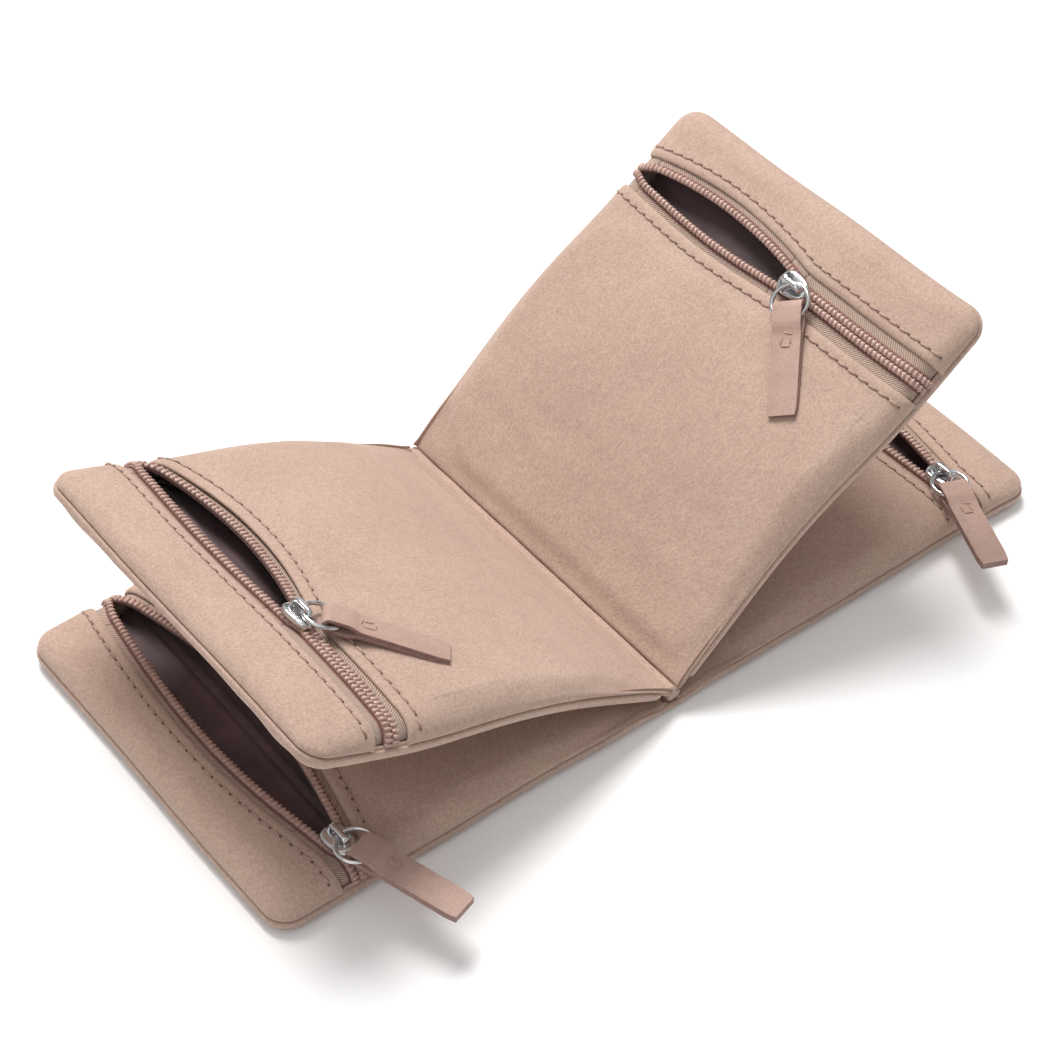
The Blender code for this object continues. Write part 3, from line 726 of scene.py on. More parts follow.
stitch = {"pitch": 3.05 * mm, "Length": 2.5 * mm, "Width": 0.7 * mm, "Height": 0.6 * mm,
          "Sides": 10, "Rings": 6, "sink": 0.12 * mm}
hole = {"Length": 0.75 * mm, "Width": 0.6 * mm, "Height": 0.34 * mm, "Sides": 8, "Rings": 5}


def stitchRow(leaf, name, line, body):
    # lockstitches on a line of points: the thread's beads, and dark beads of painted shade in the needle holes
    # between them
    line = leaf.place(line)
    step = np.linalg.norm(np.diff(line, axis=0), axis=1)
    run = np.concatenate([[0], np.cumsum(step)])
    count = int((run[-1] - 2.5 * mm) // stitch["pitch"])
    start = (run[-1] - count * stitch["pitch"]) / 2

    def at(places):
        return np.stack([np.interp(places, run, line[:, i]) for i in range(3)], 1)

    middles = start + stitch["pitch"] * (np.arange(count) + 0.5)
    holes = start + stitch["pitch"] * np.arange(count + 1)
    for kind, places, facts, finish in (("thread", middles, stitch, threadFinish),
                                        ("holes", holes, hole, needleHoleShadeFinish)):
        points = at(places)
        along, up = directions(points, leaf)
        # each stitch leans a little across the row, as a lockstitch does
        side = np.cross(up, along)
        if kind == "thread":
            along = along + 0.10 * side
            along /= np.linalg.norm(along, axis=1, keepdims=True)
        share = np.ones_like(points)
        values = {k: v for k, v in facts.items() if k[0].isupper()}
        made = beadPiece(f"{name}_{kind}", points + up * stitch["sink"], along, up, share,
                         Finish=finish, **values)
        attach(made, body)


def addSkin(leaf, name, top, wearAndHighlight, rounds, nodes):
    loops = shellLoops(top, skin["leather"], rounds)
    wornAndHighlit = np.concatenate([wearAndHighlight, np.repeat(wearAndHighlight[-1:], rounds, 0), wearAndHighlight[::-1]]).T
    mesh = loftMesh(name, leaf.place(loops), wornAndHighlit)
    made = addObject(name, mesh, leatherFinish)
    fine = made.modifiers.new("fine", "SUBSURF")
    fine.levels = fine.render_levels = 1
    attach(made, leaf.body)
    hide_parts(*nodes)
    return made


def addFrontSkin(leaf, table):
    colIndex, sign, colPlace = columnsOf(table)
    start = 0.6 * mm if leaf.upper else 2.2 * mm
    acrossY = [s * (case["halfWidth"] - table[max(i, 0)][0]) if i >= 0 else y
               for i, s, y in zip(colIndex, sign, colPlace)]
    count = int(leaf.zip / skin["step"])
    rows = np.array([edgeRows(leaf, -1, y, start, count) for y in acrossY])
    index = -np.ones(rows.shape[1], int)
    grid, _ = frontGrid(leaf, table, rows, index, -1)
    away = shapeEdge(leaf, grid, -1)
    # the root closes to the fold line
    close = smooth(grid[..., 0] / (5 * mm)) if leaf.upper else 1
    seam = leaf.seamHeight(grid[..., 0])
    grid[..., 2] = seam + (grid[..., 2] - seam) * np.maximum(close, 0.12)
    held = np.zeros(grid.shape[:2], bool)
    held[:3] = held[-6:] = True
    held[:, :8] = held[:, -8:] = True
    grid = relaxed(leaf.name + "_front", grid, held, cloth["press"])
    # the lighter band on the rolled edge is wear of the nap with a painted highlight
    wearAndHighlight = 0.55 * np.exp(-((away - 0.6 * mm) / (0.5 * mm)) ** 2)
    nodes = [leaf.name + "_front_panel"] + ([leaf.name + "_seam_edge"] if leaf.upper else [])
    addSkin(leaf, leaf.name + "_front_leather", grid, wearAndHighlight, 3, nodes)
    stitchRow(leaf, leaf.name + "_front_stitch", grid[-5, 4:-4], leaf.body)


def addFlapSkin(leaf, table):
    colIndex, sign, colPlace = columnsOf(table)
    k = len(table)
    acrossY = [s * (case["halfWidth"] - table[max(i, 0)][0]) if i >= 0 else y
               for i, s, y in zip(colIndex, sign, colPlace)]
    inner = leaf.length - case["corner"]
    count = 5
    # free-end rows first, so that the zip's edge is the last row and can be rolled
    rows = np.array([np.concatenate([edgeRows(leaf, 1, y, inner, count), np.zeros(k)]) for y in acrossY])
    index = np.concatenate([-np.ones(count + 6), np.arange(k)[::-1]]).astype(int)
    grid, _ = frontGrid(leaf, table, rows, index, 1)
    away = shapeEdge(leaf, grid, 1)
    held = np.zeros(grid.shape[:2], bool)
    held[:6] = held[-8:] = True
    held[:, :8] = held[:, -8:] = True
    grid = relaxed(leaf.name + "_flap", grid, held, cloth["press"])
    # the lighter band on the rolled edge is wear of the nap with a painted highlight
    wearAndHighlight = 0.55 * np.exp(-((away - 0.6 * mm) / (0.5 * mm)) ** 2)
    line = grid[4, 4:-4]
    flipped = grid[::-1, ::-1]
    addSkin(leaf, leaf.name + "_flap_leather", flipped, wearAndHighlight[::-1, ::-1], 3, [leaf.name + "_end_flap"])
    stitchRow(leaf, leaf.name + "_flap_stitch", line, leaf.body)


def backHeights(leaf, grid, table):
    s, y, at = grid[..., 0], grid[..., 1], grid[..., 2].astype(int)
    seam = leaf.seamHeight(s)
    lift = np.where(at >= 0, table[np.maximum(at, 0), 1], border["lift"])
    share = np.where(at >= 0, table[np.maximum(at, 0), 2], 1.0)
    puff = 0
    if leaf.upper:
        bulge = 0.4 * mm * smooth(leaf.inset(s, y) / (16 * mm)) * smooth(s / (20 * mm))
        uneven = 0.3 * mm * wave(s / (17 * mm), y / (20 * mm), leaf.seed + 7)
        puff = -bulge + uneven * smooth(leaf.inset(s, y) / (10 * mm))
    base = seam - lift
    return np.stack([s, y, base + share * (puff - base)], -1)


def backTable():
    table = borderTable(border["backRound"])
    table[3:, 0] -= border["proud"]
    table[2, 0] -= border["proud"] * 0.7
    return table


def addBackSkin(leaf, table):
    # an upper leaf's back; its own front-facing side is the inside
    k = len(table)
    inner = np.linspace(4.2 * mm, leaf.length - case["corner"], 46)
    index = np.concatenate([-np.ones(len(inner)), np.arange(k)[::-1]]).astype(int)
    grid = bordered(leaf, table, np.concatenate([inner, np.zeros(k)]), index)
    points = backHeights(leaf, grid, table)
    held = np.zeros(points.shape[:2], bool)
    held[:3] = held[-6:] = True
    held[:, :8] = held[:, -8:] = True
    # the back presses outwards, against its own normal
    points = relaxed(leaf.name + "_back", points, held, -cloth["press"] * 0.6)
    flipped = points[:, ::-1]
    addSkin(leaf, leaf.name + "_back_leather", flipped, np.zeros(points.shape[:2]), 0,
            [leaf.name + "_back_panel"])


def addOuterSkin(left, right, table):
    # the lower strip's outside: one length of leather from free end to free end
    k = len(table)
    halves = []
    for leaf in (left, right):
        inner = np.linspace(0, leaf.length - case["corner"], 52)
        rows = np.concatenate([inner, np.zeros(k)])
        rowIndex = np.concatenate([-np.ones(len(inner)), np.arange(k)[::-1]]).astype(int)
        grid = bordered(leaf, table, rows, rowIndex)
        halves.append(leaf.place(backHeights(leaf, grid, table)))
    grid = np.concatenate([halves[0][::-1], halves[1][1:]])
    grid[..., 2] = np.maximum(grid[..., 2], 0)
    made = addObject("outer_leather", loftMesh("outer_leather", shellLoops(grid, -skin["leather"], 0),
                                               np.zeros(grid.shape[:2][::-1] + (2,))), leatherFinish)
    fine = made.modifiers.new("fine", "SUBSURF")
    fine.levels = fine.render_levels = 1
    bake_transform(made, left.body, right.body, start=(-7 * mm, 0, 0), end=(7 * mm, 0, 0))
    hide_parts("lower_left_back_panel", "lower_right_back_panel", "centre_seam")


seamCord = {"radius": 0.5 * mm, "inset": 1.0 * mm, "sides": 6}


def tubeMesh(name, path, radius, sides, normalHint):
    path = np.asarray(path, float)
    along = np.gradient(path, axis=0)
    along /= np.linalg.norm(along, axis=1, keepdims=True)
    hint = np.asarray(normalHint, float)
    across = np.cross(along, hint)
    across /= np.maximum(np.linalg.norm(across, axis=1, keepdims=True), 1e-9)
    up = np.cross(across, along)
    turn = np.linspace(0, 2 * np.pi, sides, endpoint=False)
    ring = np.cos(turn)[None, :, None] * across[:, None] + np.sin(turn)[None, :, None] * up[:, None]
    return loftMesh(name, path[:, None] + radius * ring)


def addSideSeam(leaf):
    # the turned-in allowance that fills the groove between front and back
    deep = seamCord["inset"]
    half = case["halfWidth"] - deep
    r = case["corner"] - deep
    straight = np.linspace(1.5 * mm, leaf.length - case["corner"], 40)
    path = [(s, -half) for s in straight]
    for i in range(1, 12):
        turn = math.pi / 2 * i / 12
        path.append((leaf.length - case["corner"] + r * math.sin(turn), -(half - r + r * math.cos(turn))))
    path += [(leaf.length - deep, y) for y in np.linspace(-(half - r), half - r, 34)]
    for i in range(1, 12):
        turn = math.pi / 2 * (1 - i / 12)
        path.append((leaf.length - case["corner"] + r * math.sin(turn), half - r + r * math.cos(turn)))
    path += [(s, half) for s in straight[::-1]]
    path = np.array(path)
    points = np.stack([path[:, 0], path[:, 1], leaf.seamHeight(path[:, 0])], 1)
    mesh = tubeMesh(leaf.name + "_side_seam", leaf.place(points), seamCord["radius"], seamCord["sides"],
                    leaf.normal)
    made = addObject(leaf.name + "_side_seam", mesh, leatherFinish)
    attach(made, leaf.body)
    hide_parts(leaf.name + "_side_welt")


lining = {"sheet": 0.25 * mm, "under": 2.5 * mm, "floor": 1.5 * mm, "side": 3.2 * mm, "root": 15 * mm,
          "ridge": 0.9 * mm}


def addLining(leaf):
    # a loose bag below the leather, its mouth sewn to the tapes
    half = case["halfWidth"] - lining["side"]
    across = half * np.sin(np.linspace(-np.pi / 2, np.pi / 2, 61))
    end = leaf.length - lining["side"] - 1 * mm
    rows = []
    for y in across:
        pinch = (1 - (abs(y) / half) ** 8) ** 0.5 if abs(y) < half else 0.0
        seamEdge = leaf.leatherEdge(-1, y) + 1.2 * mm
        endEdge = leaf.leatherEdge(1, y) - 1.2 * mm
        endAt = end - max(0, abs(y) - (half - 7 * mm)) * 0.8
        back = [(s, 1.0) for s in np.linspace(seamEdge, lining["root"] + 3 * mm, 14)]
        turn1 = [(lining["root"] + 3 * mm * (1 - math.sin(t)), 0.5 + 0.5 * math.cos(t))
                 for t in np.linspace(0.3, math.pi - 0.3, 5)]
        floor = [(s, 0.0) for s in np.linspace(lining["root"] + 3 * mm, endAt - 3 * mm, 110)]
        turn2 = [(endAt - 3 * mm * (1 - math.sin(t)), 0.5 - 0.5 * math.cos(t))
                 for t in np.linspace(0.3, math.pi - 0.3, 5)]
        front = [(s, 1.0) for s in np.linspace(endAt - 3 * mm, max(endEdge, leaf.zip), 8)]
        line = []
        for s, up in back + turn1 + floor + turn2 + front:
            topN = float(leaf.surface(np.array(s), np.array(y))) - lining["under"]
            lowN = lining["floor"]
            n = lowN + (topN - lowN) * up * pinch
            line.append((s, y, n))
        rows.append(line)
    grid = np.array(rows).transpose(1, 0, 2)
    s, y = grid[..., 0], grid[..., 1]
    level = np.clip((grid[..., 2] - lining["floor"]) / (4 * mm), 0, 1)
    for offset in (6.2 * mm, 3.6 * mm):
        grid[..., 2] += lining["ridge"] * np.exp(-((s - leaf.zip + offset) / (0.55 * mm)) ** 2) * (1 - level)
    grid[..., 2] += 0.45 * mm * (1 - level) * (wave(s / (9 * mm), y / (13 * mm), leaf.seed + 11) + 0.4)
    uv = np.stack([y, np.cumsum(np.linalg.norm(np.gradient(grid, axis=0), axis=-1), 0)], -1)
    mesh = gridMesh(leaf.name + "_pocket_lining", leaf.place(grid), uv)
    made = addObject(leaf.name + "_pocket_lining", mesh, liningFinish)
    thick = made.modifiers.new("cloth", "SOLIDIFY")
    thick.thickness = lining["sheet"]
    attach(made, leaf.body)
    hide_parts(leaf.name + "_lining")


zipper = {"coilWidth": 1.75 * mm, "pitch": 1.2 * mm, "closedGap": 0.0, "post": 1.0 * mm,
          "coilBelow": 0.42 * mm, "tapeBelow": 1.32 * mm, "tape": 0.42 * mm, "tuck": 2.6 * mm,
          "sag": 0.5 * mm}
tooth = {"Length": 0.8 * mm, "Width": 1.98 * mm, "Height": 1.05 * mm, "Sides": 8, "Rings": 6}


def rowGap(leaf, y):
    # half the gap between the rows: parted by the slider's post, closed at both ends
    share = np.clip((y - leaf.sliderY + 2 * mm) / (2 * mm), 0, 1)
    share = share * smooth((case["zipEnd"] + 1 * mm - y) / (7 * mm))
    return zipper["closedGap"] + (zipper["post"] - zipper["closedGap"]) * share


class ZipLine:
    # the zip's way over the leaf: up out of one side seam, across, and down into the other
    def __init__(self, leaf):
        self.leaf = leaf
        turn = np.linspace(0.015, 1, 22) * math.pi / 2
        inset = border["round"] * (1 - np.cos(turn) ** (2 / border["power"]))
        share = np.sin(turn) ** (2 / border["power"])
        side = case["halfWidth"] - inset
        inner = np.linspace(-side[-1], side[-1], 120)[1:-1]
        self.y = np.concatenate([-side, inner, side[::-1]])
        share = np.concatenate([share, np.ones(len(inner)), share[::-1]])
        flat = np.full_like(self.y, leaf.zip)
        base = leaf.seamHeight(flat) + border["lift"]
        self.n = base + share * (leaf.top(flat, self.y) - base)
        self.n = self.n + relief(leaf, flat, self.y) * smooth(leaf.inset(flat, self.y) / (9 * mm))
        step = np.hypot(np.diff(self.y), np.diff(self.n))
        self.run = np.concatenate([[0], np.cumsum(step)])
        dy, dn = np.gradient(self.y, self.run), np.gradient(self.n, self.run)
        size = np.hypot(dy, dn)
        self.outY, self.outN = -dn / size, dy / size

    def runAt(self, y):
        return float(np.interp(y, self.y, self.run))

    def row(self, way, run, across, below):
        # a line beside the zip's centre: across from the row's inner side, below the leather's surface
        y = np.interp(run, self.run, self.y)
        n = np.interp(run, self.run, self.n)
        outY, outN = np.interp(run, self.run, self.outY), np.interp(run, self.run, self.outN)
        deep = below + zipper["sag"] * self.leaf.opened(y)
        s = self.leaf.zip + way * (rowGap(self.leaf, y) + self.leaf.bow(way, y) + across)
        return np.stack([s + 0 * y, y - outY * deep, n - outN * deep], -1)


def inverseSmooth(v):
    return 0.5 - math.sin(math.asin(1 - 2 * v) / 3)


def shares(leaf):
    # stretches of the zip as (name, from, to) in shares of the way from rest to moving with the slider
    far = case["halfWidth"]
    near = -far
    open1 = [("open_far", 0.0, 0.1), ("open_middle", 0.1, 0.9), ("open_near", 0.9, 1.0)]
    made = [(name, a, b, far) for name, a, b in open1]
    made.append(("closed", 0.0, 1.0, near))
    return made


def blendStretch(leaf, made, fixedEnd, a, b):
    # start and end are set back so that the smooth turn is close to even over this stretch
    def yOf(share):
        return fixedEnd + (leaf.sliderY - fixedEnd) * share
    if a <= 0 and b >= 1:
        low, high = 0.0, 1.0
    elif a <= 0:
        low, high = 0.0, b / inverseSmooth(b)
    elif b >= 1:
        high, low = 1.0, 1 - (1 - a) / inverseSmooth(1 - a)
    else:
        x0, x1 = inverseSmooth(a), inverseSmooth(b)
        span = (b - a) / (x1 - x0)
        low = a - x0 * span
        high = low + span
    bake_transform(made, leaf.body, leaf.name + "_slide", start=(0, yOf(low), 0), end=(0, yOf(high), 0))


def tapeHalf(leaf, path, way, run, wide):
    # closed loops across one side of the tape, with a UV laid along the zip
    y = np.interp(run, path.run, path.y)
    outer = case["tapeReach"] - rowGap(leaf, y) + zipper["tuck"] + wide
    across = zipper["coilWidth"] * np.array([0.1, 0.5, 0.9, 1.15, 1.6, 2.2, 3.0])
    levels = []
    for drop in (0.0, zipper["tape"]):
        level = [path.row(way, run, np.minimum(v, outer), zipper["tapeBelow"] + drop) for v in across]
        level.append(path.row(way, run, outer, zipper["tapeBelow"] + 0.15 * mm + drop))
        levels.append(level)
    loops = np.array(levels[0] + levels[1][::-1]).transpose(1, 0, 2)
    mesh = loftMesh("tape", leaf.place(loops))
    layer = mesh.uv_layers.new(name="cloth")
    v = np.append(across, zipper["coilWidth"] * 3.6) - zipper["coilWidth"]
    v = np.concatenate([v, v[::-1]])
    flat = np.stack([np.repeat(run, len(v)), np.tile(v, len(run))], 1)
    order = np.zeros(len(mesh.loops), np.int32)
    mesh.loops.foreach_get("vertex_index", order)
    layer.data.foreach_set("uv", flat[order].astype(np.float32).ravel())
    return mesh


def coilHalf(leaf, path, way, low, high, name):
    # a rib at each pitch, over a low core that fills the row
    count = max(2, int(round((high - low) / zipper["pitch"])))
    pitch = (high - low) / count
    run = low + pitch * (np.arange(count) + (0.75 if way < 0 else 0.25))
    middle = np.full(count, zipper["coilWidth"] / 2)
    line = leaf.place(path.row(way, run, middle, zipper["coilBelow"]))
    ahead = leaf.place(path.row(way, run + 0.1 * mm, middle, zipper["coilBelow"]))
    above = leaf.place(path.row(way, run, middle, zipper["coilBelow"] - 0.1 * mm))
    ribs = beadPiece(f"{name}_ribs", line, ahead - line, above - line, np.ones_like(line), Finish=coilFinish,
                     **tooth)
    core = np.linspace(low, high, max(4, int((high - low) / (1.2 * mm))))
    loops = [path.row(way, core, np.full_like(core, across * mm), below * mm) for across, below in
             ((0.1, 0.75), (0.35, 0.38), (1.3, 0.38), (1.6, 0.75), (1.6, 1.2), (0.1, 1.2))]
    coreMesh = loftMesh("core", leaf.place(np.array(loops).transpose(1, 0, 2)))
    return [ribs.data, coreMesh], ribs


def addZip(leaf):
    path = ZipLine(leaf)
    for name, a, b, fixedEnd in shares(leaf):
        ends = [fixedEnd + (leaf.sliderY - fixedEnd) * share for share in (a, b)]
        low, high = path.runAt(min(ends)), path.runAt(max(ends))
        run = np.linspace(low, high, max(4, int((high - low) / (0.9 * mm))))
        wide = max(leaf.bowSeam, leaf.bowEnd) if name == "closed" else 0
        tape = joined(f"{leaf.name}_tape_{name}", [tapeHalf(leaf, path, way, run, wide) for way in (-1, 1)],
                      tapeClothFinish)
        coils = []
        for way in (-1, 1):
            meshes, seed = coilHalf(leaf, path, way, low, high, f"{leaf.name}_{name}_{way}")
            bpy.data.objects.remove(seed, do_unlink=True)
            coils += meshes
        coil = joined(f"{leaf.name}_coil_{name}", coils, coilFinish)
        for made, slot, kind in ((tape, "zip_tape", "tape"), (coil, "zip_coil", "coil")):
            blendStretch(leaf, made, fixedEnd, a, b)
            if name == "open_middle":
                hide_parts(f"{leaf.name}_{kind}_seam_side", f"{leaf.name}_{kind}_end_side")


def joined(name, meshes, material):
    bm = bmesh.new()
    for mesh in meshes:
        bm.from_mesh(mesh)
        bpy.data.meshes.remove(mesh)
    for face in bm.faces:
        face.material_index = 0
    mesh = bpy.data.meshes.new(name)
    bm.to_mesh(mesh)
    bm.free()
    mesh.shade_smooth()
    return addObject(name, mesh, material)


sliderFacts = {"length": 8.0 * mm, "width": 6.4 * mm, "crownLow": 9.7 * mm, "plate": 0.9 * mm,
               "bodyLow": 6.2 * mm, "ringHeight": 11.4 * mm, "ring": 4.3 * mm, "wire": 0.5 * mm,
               "bridgeFoot": 2.75 * mm, "bridgeTop": 13.0 * mm, "bridge": 0.45 * mm}


def sliderMatrix(leaf):
    # X along the zip to its far end, Z out of the leaf
    origin = leaf.place(np.array([leaf.zip, leaf.sliderY, 0.0]))
    x = Vector((0, 1, 0))
    z = leaf.normal
    y = z.cross(x)
    turned = Matrix((x, y, z)).transposed().to_4x4()
    return Matrix.Translation(Vector(origin)) @ turned


def plateRing(length, width, taper, count=40):
    # outline of a slider plate: full and round at the shoulders, narrower at the tail
    points = []
    for i in range(count):
        turn = 2 * math.pi * i / count
        c, s = math.cos(turn), math.sin(turn)
        x = length / 2 * math.copysign(abs(c) ** 0.72, c)
        y = width / 2 * math.copysign(abs(s) ** 0.78, s) * (1 - taper * (0.5 - x / length))
        points.append((x, y))
    return np.array(points)


def plateMesh(name, outline, levels):
    # stacked copies of an outline: (height, how much of it), closed top and bottom
    loops = [[(x * size, y * size, z) for x, y in outline] for z, size in levels]
    count = len(outline)
    bm = bmesh.new()
    rings = [[bm.verts.new(p) for p in loop] for loop in loops]
    for a, b in zip(rings, rings[1:]):
        for i in range(count):
            k = (i + 1) % count
            bm.faces.new((a[i], a[k], b[k], b[i]))
    for ring, z in ((rings[0], levels[0][0]), (rings[-1], levels[-1][0])):
        pole = bm.verts.new((0, 0, z))
        for i in range(count):
            bm.faces.new((ring[i], ring[(i + 1) % count], pole))
    bmesh.ops.recalc_face_normals(bm, faces=bm.faces)
    mesh = bpy.data.meshes.new(name)
    bm.to_mesh(mesh)
    bm.free()
    return mesh


def addSlider(leaf):
    f = sliderFacts
    outline = plateRing(f["length"], f["width"], 0.22)
    low, high = f["crownLow"], f["crownLow"] + f["plate"]
    # crown: sides curl down over the rows, top is domed with a soft rim
    crown = plateMesh("crown", outline, [(low - 0.35 * mm, 0.93), (low - 0.35 * mm, 1.0),
                                         (low + 0.35 * mm, 1.02),
                                         (high - 0.25 * mm, 0.98), (high - 0.06 * mm, 0.91), (high, 0.80),
                                         (high + 0.07 * mm, 0.5)])
    body = plateMesh("body", outline, [(f["bodyLow"], 0.86), (f["bodyLow"] + 0.12 * mm, 0.97),
                                       (f["bodyLow"] + 0.6 * mm, 1.0), (f["bodyLow"] + 0.8 * mm, 0.94)])
    post = plateMesh("post", plateRing(3.0 * mm, 1.3 * mm, 0.3, 20) + np.array([[2.0 * mm, 0]]),
                     [(f["bodyLow"] + 0.4 * mm, 1), (low + 0.3 * mm, 1)])
    # bridge: a flat cast loop over the crown, its feet spread where they meet it
    path = []
    foot, top = f["bridgeFoot"], f["bridgeTop"] - f["bridge"]
    for i in range(21):
        turn = math.pi * i / 20
        c, s = math.cos(turn), math.sin(turn)
        path.append((-foot * math.copysign(abs(c) ** 0.45, c), 0,
                     low + 0.4 * mm + (top - low - 0.4 * mm) * s ** 0.45))
    path = np.array(path)
    along = np.gradient(path, axis=0)
    along /= np.linalg.norm(along, axis=1, keepdims=True)
    out = np.cross(along, np.array([0, 1.0, 0]))
    loops = []
    for k, p in enumerate(path):
        share = abs(k - 10) / 10
        wide = (0.62 + 0.45 * share ** 3) * mm
        ring = []
        for i in range(12):
            turn = 2 * math.pi * i / 12
            c, s = math.cos(turn), math.sin(turn)
            ring.append(p + wide * math.copysign(abs(c) ** 0.7, c) * np.array([0, 1.0, 0])
                        + f["bridge"] * math.copysign(abs(s) ** 0.7, s) * out[k])
        loops.append(ring)
    bridge = loftMesh("bridge", loops)
    made = joined(leaf.name + "_cast_slider", [crown, body, post, bridge], nickelFinish)
    made.data.transform(sliderMatrix(leaf))
    made.data.set_sharp_from_angle(angle=math.radians(50))
    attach(made, leaf.name + "_slide")
    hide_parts(leaf.name + "_slider")


tabFacts = {"width": 6.9 * mm, "layer": 0.86 * mm, "length": 27 * mm, "gap": 0.07 * mm, "eyeStart": 5.8 * mm,
            "eyeRun": 3.6 * mm, "close": 3.2 * mm, "tackAt": 8.5 * mm, "droop": 0.2 * mm}


def pullMatrix(leaf):
    # X along the tab, Z out of the leaf, from the middle of the bridge
    turn = math.radians(leaf.turn)
    x = -leaf.along * math.sin(turn) - Vector((0, 1, 0)) * math.cos(turn)
    z = leaf.normal
    y = z.cross(x)
    origin = leaf.place(np.array([leaf.zip, leaf.sliderY, sliderFacts["ringHeight"]]))
    return Matrix.Translation(Vector(origin)) @ Matrix((x, y, z)).transposed().to_4x4()


def tabPath():
    # centre line of the strip: back along the upper layer, round the ring, out along the lower one
    t = tabFacts
    half = (t["layer"] + t["gap"]) / 2
    open1 = sliderFacts["wire"] + 0.3 * mm + t["layer"] / 2
    end = t["length"] + t["eyeStart"] - open1 - 0.4 * mm
    start = t["eyeStart"]

    def level(u):
        share = float(smooth(np.array((u - start - t["eyeRun"]) / t["close"])))
        return open1 + (half - open1) * share

    closeAt = start + t["eyeRun"] + t["close"]
    us = list(np.linspace(end, closeAt, 14)) + list(np.linspace(closeAt, start, 12))[1:]
    upper = [(u, level(u)) for u in us]
    turn = [(start - open1 * math.sin(a), open1 * math.cos(a)) for a in np.linspace(0, math.pi, 11)[1:-1]]
    lower = [(u, -v) for u, v in upper[::-1]]
    return np.array(upper + turn + lower), end


def addPull(leaf):
    f, t = sliderFacts, tabFacts
    matrix = pullMatrix(leaf)
    # ring: drawn wire, closed
    around = np.linspace(0, 2 * np.pi, 49)
    path = np.stack([f["ring"] + f["ring"] * np.cos(around), f["ring"] * np.sin(around), 0 * around], 1)[:-1]
    sides = np.linspace(0, 2 * np.pi, 12, endpoint=False)
    out = np.stack([np.cos(around), np.sin(around), 0 * around], 1)[:-1]
    rings = path[:, None] + f["wire"] * (np.cos(sides)[None, :, None] * out[:, None]
                                         + np.sin(sides)[None, :, None] * np.array([0, 0, 1.0]))
    count, n = rings.shape[:2]
    faces = [(j * n + i, j * n + (i + 1) % n, ((j + 1) % count) * n + (i + 1) % n, ((j + 1) % count) * n + i)
             for j in range(count) for i in range(n)]
    mesh = bpy.data.meshes.new(leaf.name + "_wire_ring")
    mesh.from_pydata(rings.reshape(-1, 3).tolist(), [], faces)
    bm = bmesh.new()
    bm.from_mesh(mesh)
    bmesh.ops.recalc_face_normals(bm, faces=bm.faces)
    bm.to_mesh(mesh)
    bm.free()
    mesh.shade_smooth()
    mesh.transform(matrix)
    ring = addObject(leaf.name + "_wire_ring", mesh, nickelFinish)
    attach(ring, leaf.name + "_pull")
    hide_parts(leaf.name + "_pull_ring")
    # tab: one strip folded over the ring, a rounded oblong section all along
    path, end = tabPath()
    along = np.gradient(path, axis=0)
    along /= np.linalg.norm(along, axis=1, keepdims=True)
    side = np.stack([-along[:, 1], along[:, 0]], 1)
    halfW, halfT, r = t["width"] / 2, t["layer"] / 2, 0.22 * mm
    section = []
    for cx, cy, start in ((1, 1, 0), (-1, 1, 90), (-1, -1, 180), (1, -1, 270)):
        for k in range(4):
            a = math.radians(start + 30 * k)
            section.append((cx * (halfW - r) + r * math.cos(a), cy * (halfT - r) + r * math.sin(a)))
    section = np.array(section)
    loops = []
    for k, (p, d) in enumerate(zip(path, side)):
        fromEnd = min(k, len(path) - 1 - k)
        pinch = 1 - 0.10 * max(0, 1 - fromEnd / 1.5)
        droop = -t["droop"] * max(0.0, (p[0] - 9 * mm) / (end - 9 * mm)) ** 2
        loops.append([(p[0] + d[0] * v, w * (pinch if fromEnd < 2 else 1), p[1] + d[1] * v + droop)
                      for w, v in section])
    mesh = loftMesh(leaf.name + "_folded_tab", loops)
    mesh.materials.append(tabFinish)
    mesh.materials.append(edgeFinish)
    for polygon in mesh.polygons:
        normal = polygon.normal
        isSide = abs(normal.y) > 0.75
        isEnd = polygon.center.x > end - 0.2 * mm and normal.x > 0.6
        polygon.material_index = 1 if isSide or isEnd else 0
    mesh.set_sharp_from_angle(angle=math.radians(60))
    mesh.transform(matrix)
    tab = bpy.data.objects.new(leaf.name + "_folded_tab", mesh)
    bpy.context.scene.collection.objects.link(tab)
    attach(tab, leaf.name + "_pull")
    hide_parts(leaf.name + "_pull_tab")
    # tack: three stitches in a U that hold the loop closed
    at = t["eyeStart"] + t["tackAt"] - 0.6 * mm
    top = t["layer"] + t["gap"] / 2 + 0.06 * mm
    points = [(at, 1.05 * mm, top), (at + 1.5 * mm, 0, top), (at, -1.05 * mm, top),
              (at - 1.5 * mm, 0.5 * mm, top)]
    along = [(1, 0.15, 0), (0.1, 1, 0), (1, -0.1, 0), (0.3, 1, 0)]
    world = [matrix @ Vector(p) for p in points]
    turned = [matrix.to_3x3() @ Vector(a).normalized() for a in along]
    up = [leaf.normal] * 4
    tack = beadPiece(leaf.name + "_tack", world, turned, up, np.ones((4, 3)), Finish=threadFinish,
                     Length=2.3 * mm, Width=0.55 * mm, Height=0.5 * mm, Sides=10, Rings=6)
    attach(tack, leaf.name + "_pull")
    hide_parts(leaf.name + "_tab_tack")


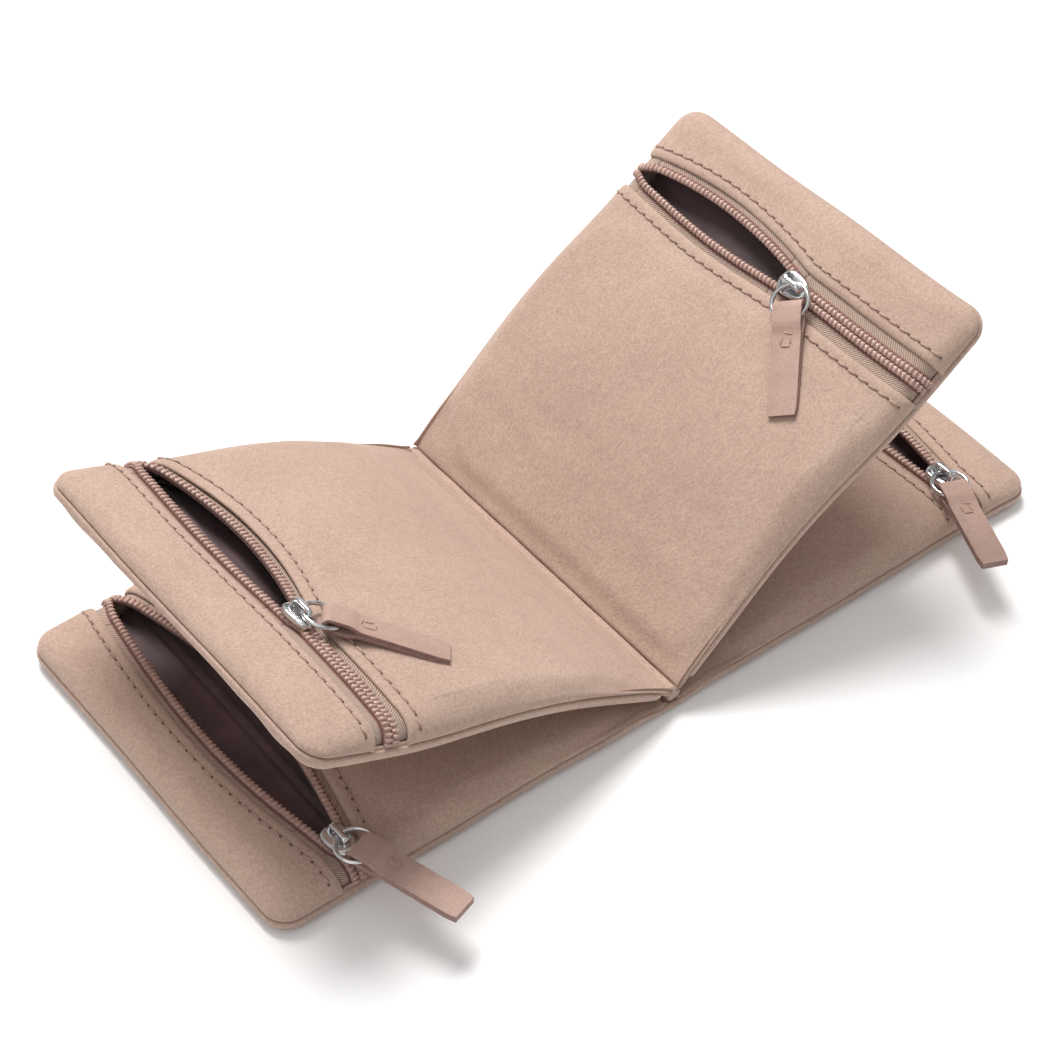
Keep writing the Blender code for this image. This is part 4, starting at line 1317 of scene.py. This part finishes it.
def addCrease():
    # the valley between the upper leaves, and the stitches that go through both strips
    root = leaves["lower_left"]
    half = case["halfWidth"] - 0.4 * mm
    y = np.linspace(-half, half, 60)
    loops = []
    for v in y:
        dip = 0.25 * mm * noise.noise(Vector((v / (7 * mm), 2.2, 0)))
        loops.append([(1.8 * mm * math.cos(a), v, 3.95 * mm + (1.45 * mm + dip) * math.sin(a)) for a in
                      np.linspace(0, 2 * math.pi, 14, endpoint=False)])
    made = addObject("crease_leather", loftMesh("crease_leather", loops), leatherFinish)
    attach(made, root.body)
    count = int((2 * half - 8 * mm) / stitch["pitch"])
    places = -half + 4.5 * mm + stitch["pitch"] * np.arange(count)
    points = np.stack([0 * places, places, np.full_like(places, 5.1 * mm)], 1)
    along = np.tile([0.05, 1, 0], (count, 1))
    up = np.tile([0, 0, 1.0], (count, 1))
    values = {k: v for k, v in stitch.items() if k[0].isupper()}
    thread = beadPiece("crease_stitch", points, along, up, np.ones((count, 3)), Finish=threadFinish, **values)
    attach(thread, root.body)


frontTable = borderTable(border["round"])
hindTable = backTable()
for leaf in leaves.values():
    addFrontSkin(leaf, frontTable)
    addFlapSkin(leaf, frontTable)
    if leaf.upper:
        addBackSkin(leaf, hindTable)
    addSideSeam(leaf)
    addLining(leaf)
    addZip(leaf)
    addSlider(leaf)
    addPull(leaf)
    print("made", leaf.name)
addOuterSkin(leaves["lower_left"], leaves["lower_right"], hindTable)
addCrease()
print("pieces made")


studio = {"floor": (0.96, 0.96, 0.96), "sky": 0.62, "key": 12.8, "fill": 1.3}


def addLight(name, place, target, size, power, colour=(1, 1, 1)):
    data = bpy.data.lights.new(name, "AREA")
    data.shape = "DISK"
    data.size = size
    data.energy = power
    data.color = colour
    made = bpy.data.objects.new(name, data)
    made.location = place
    made.rotation_mode = "QUATERNION"
    made.rotation_quaternion = (Vector(target) - Vector(place)).to_track_quat("-Z", "Y")
    bpy.context.scene.collection.objects.link(made)


def addStudio():
    bpy.context.scene.view_settings.view_transform = "Standard"
    material, tree, _ = newMaterial("white board", studio["floor"], 0.9)
    mesh = bpy.data.meshes.new("floor")
    size = 4.0
    mesh.from_pydata([(-size, -size, -0.0004), (size, -size, -0.0004), (size, size, -0.0004),
                      (-size, size, -0.0004)], [], [(0, 1, 2, 3)])
    addObject("floor", mesh, material)
    world = bpy.data.worlds.new("studio")
    world.use_nodes = True
    tree = world.node_tree
    background = tree.nodes["Background"]
    background.inputs["Strength"].default_value = studio["sky"]
    # a bright ceiling over dark walls with one lit side, so that metal has something to mirror
    where = addNode(tree, "ShaderNodeTexCoord", (-900, 0)).outputs["Generated"]
    split = addNode(tree, "ShaderNodeSeparateXYZ", (-700, 0))
    tree.links.new(where, split.inputs["Vector"])
    ceiling = rampNode(tree, split.outputs["Z"], [(0.04, (0.10, 0.10, 0.10)), (0.25, (0.35, 0.35, 0.35)),
                                                  (0.36, (1.1, 1.1, 1.1)), (0.56, (1.1, 1.1, 1.1)),
                                                  (0.62, (0.10, 0.10, 0.10)), (0.74, (0.12, 0.12, 0.12)),
                                                  (0.80, (1.2, 1.2, 1.2)), (0.97, (1.2, 1.2, 1.2))], (-450, 0))
    tree.links.new(ceiling.outputs["Color"], background.inputs["Color"])
    bpy.context.scene.world = world
    addLight("key", (0.10, 0.45, 0.95), (0, 0, 0.02), 0.55, studio["key"], (1.0, 0.985, 0.965))
    addLight("fill", (-0.7, -0.35, 0.6), (0, 0, 0.02), 0.9, studio["fill"], (0.97, 0.98, 1.0))


cameraFacts = {"place": (-0.2645, -0.3007, 0.4125), "azimuth": -41.05, "elevation": 44.73, "roll": 3.5,
               "lens": 85.4}


def addCamera():
    data = bpy.data.cameras.new("camera")
    data.lens = cameraFacts["lens"]
    data.sensor_width = 36
    data.clip_start = 0.01
    made = bpy.data.objects.new("camera", data)
    a, e = math.radians(cameraFacts["azimuth"]), math.radians(cameraFacts["elevation"])
    back = Vector((math.sin(a) * math.cos(e), -math.cos(a) * math.cos(e), math.sin(e)))
    right = Vector((0, 0, 1)).cross(back).normalized()
    up = back.cross(right)
    r = math.radians(cameraFacts["roll"])
    across = right * math.cos(r) + up * math.sin(r)
    upward = up * math.cos(r) - right * math.sin(r)
    turned = Matrix((across, upward, back)).transposed().to_4x4()
    made.matrix_world = Matrix.Translation(cameraFacts["place"]) @ turned
    bpy.context.scene.collection.objects.link(made)
    bpy.context.scene.camera = made


addStudio()
addCamera()
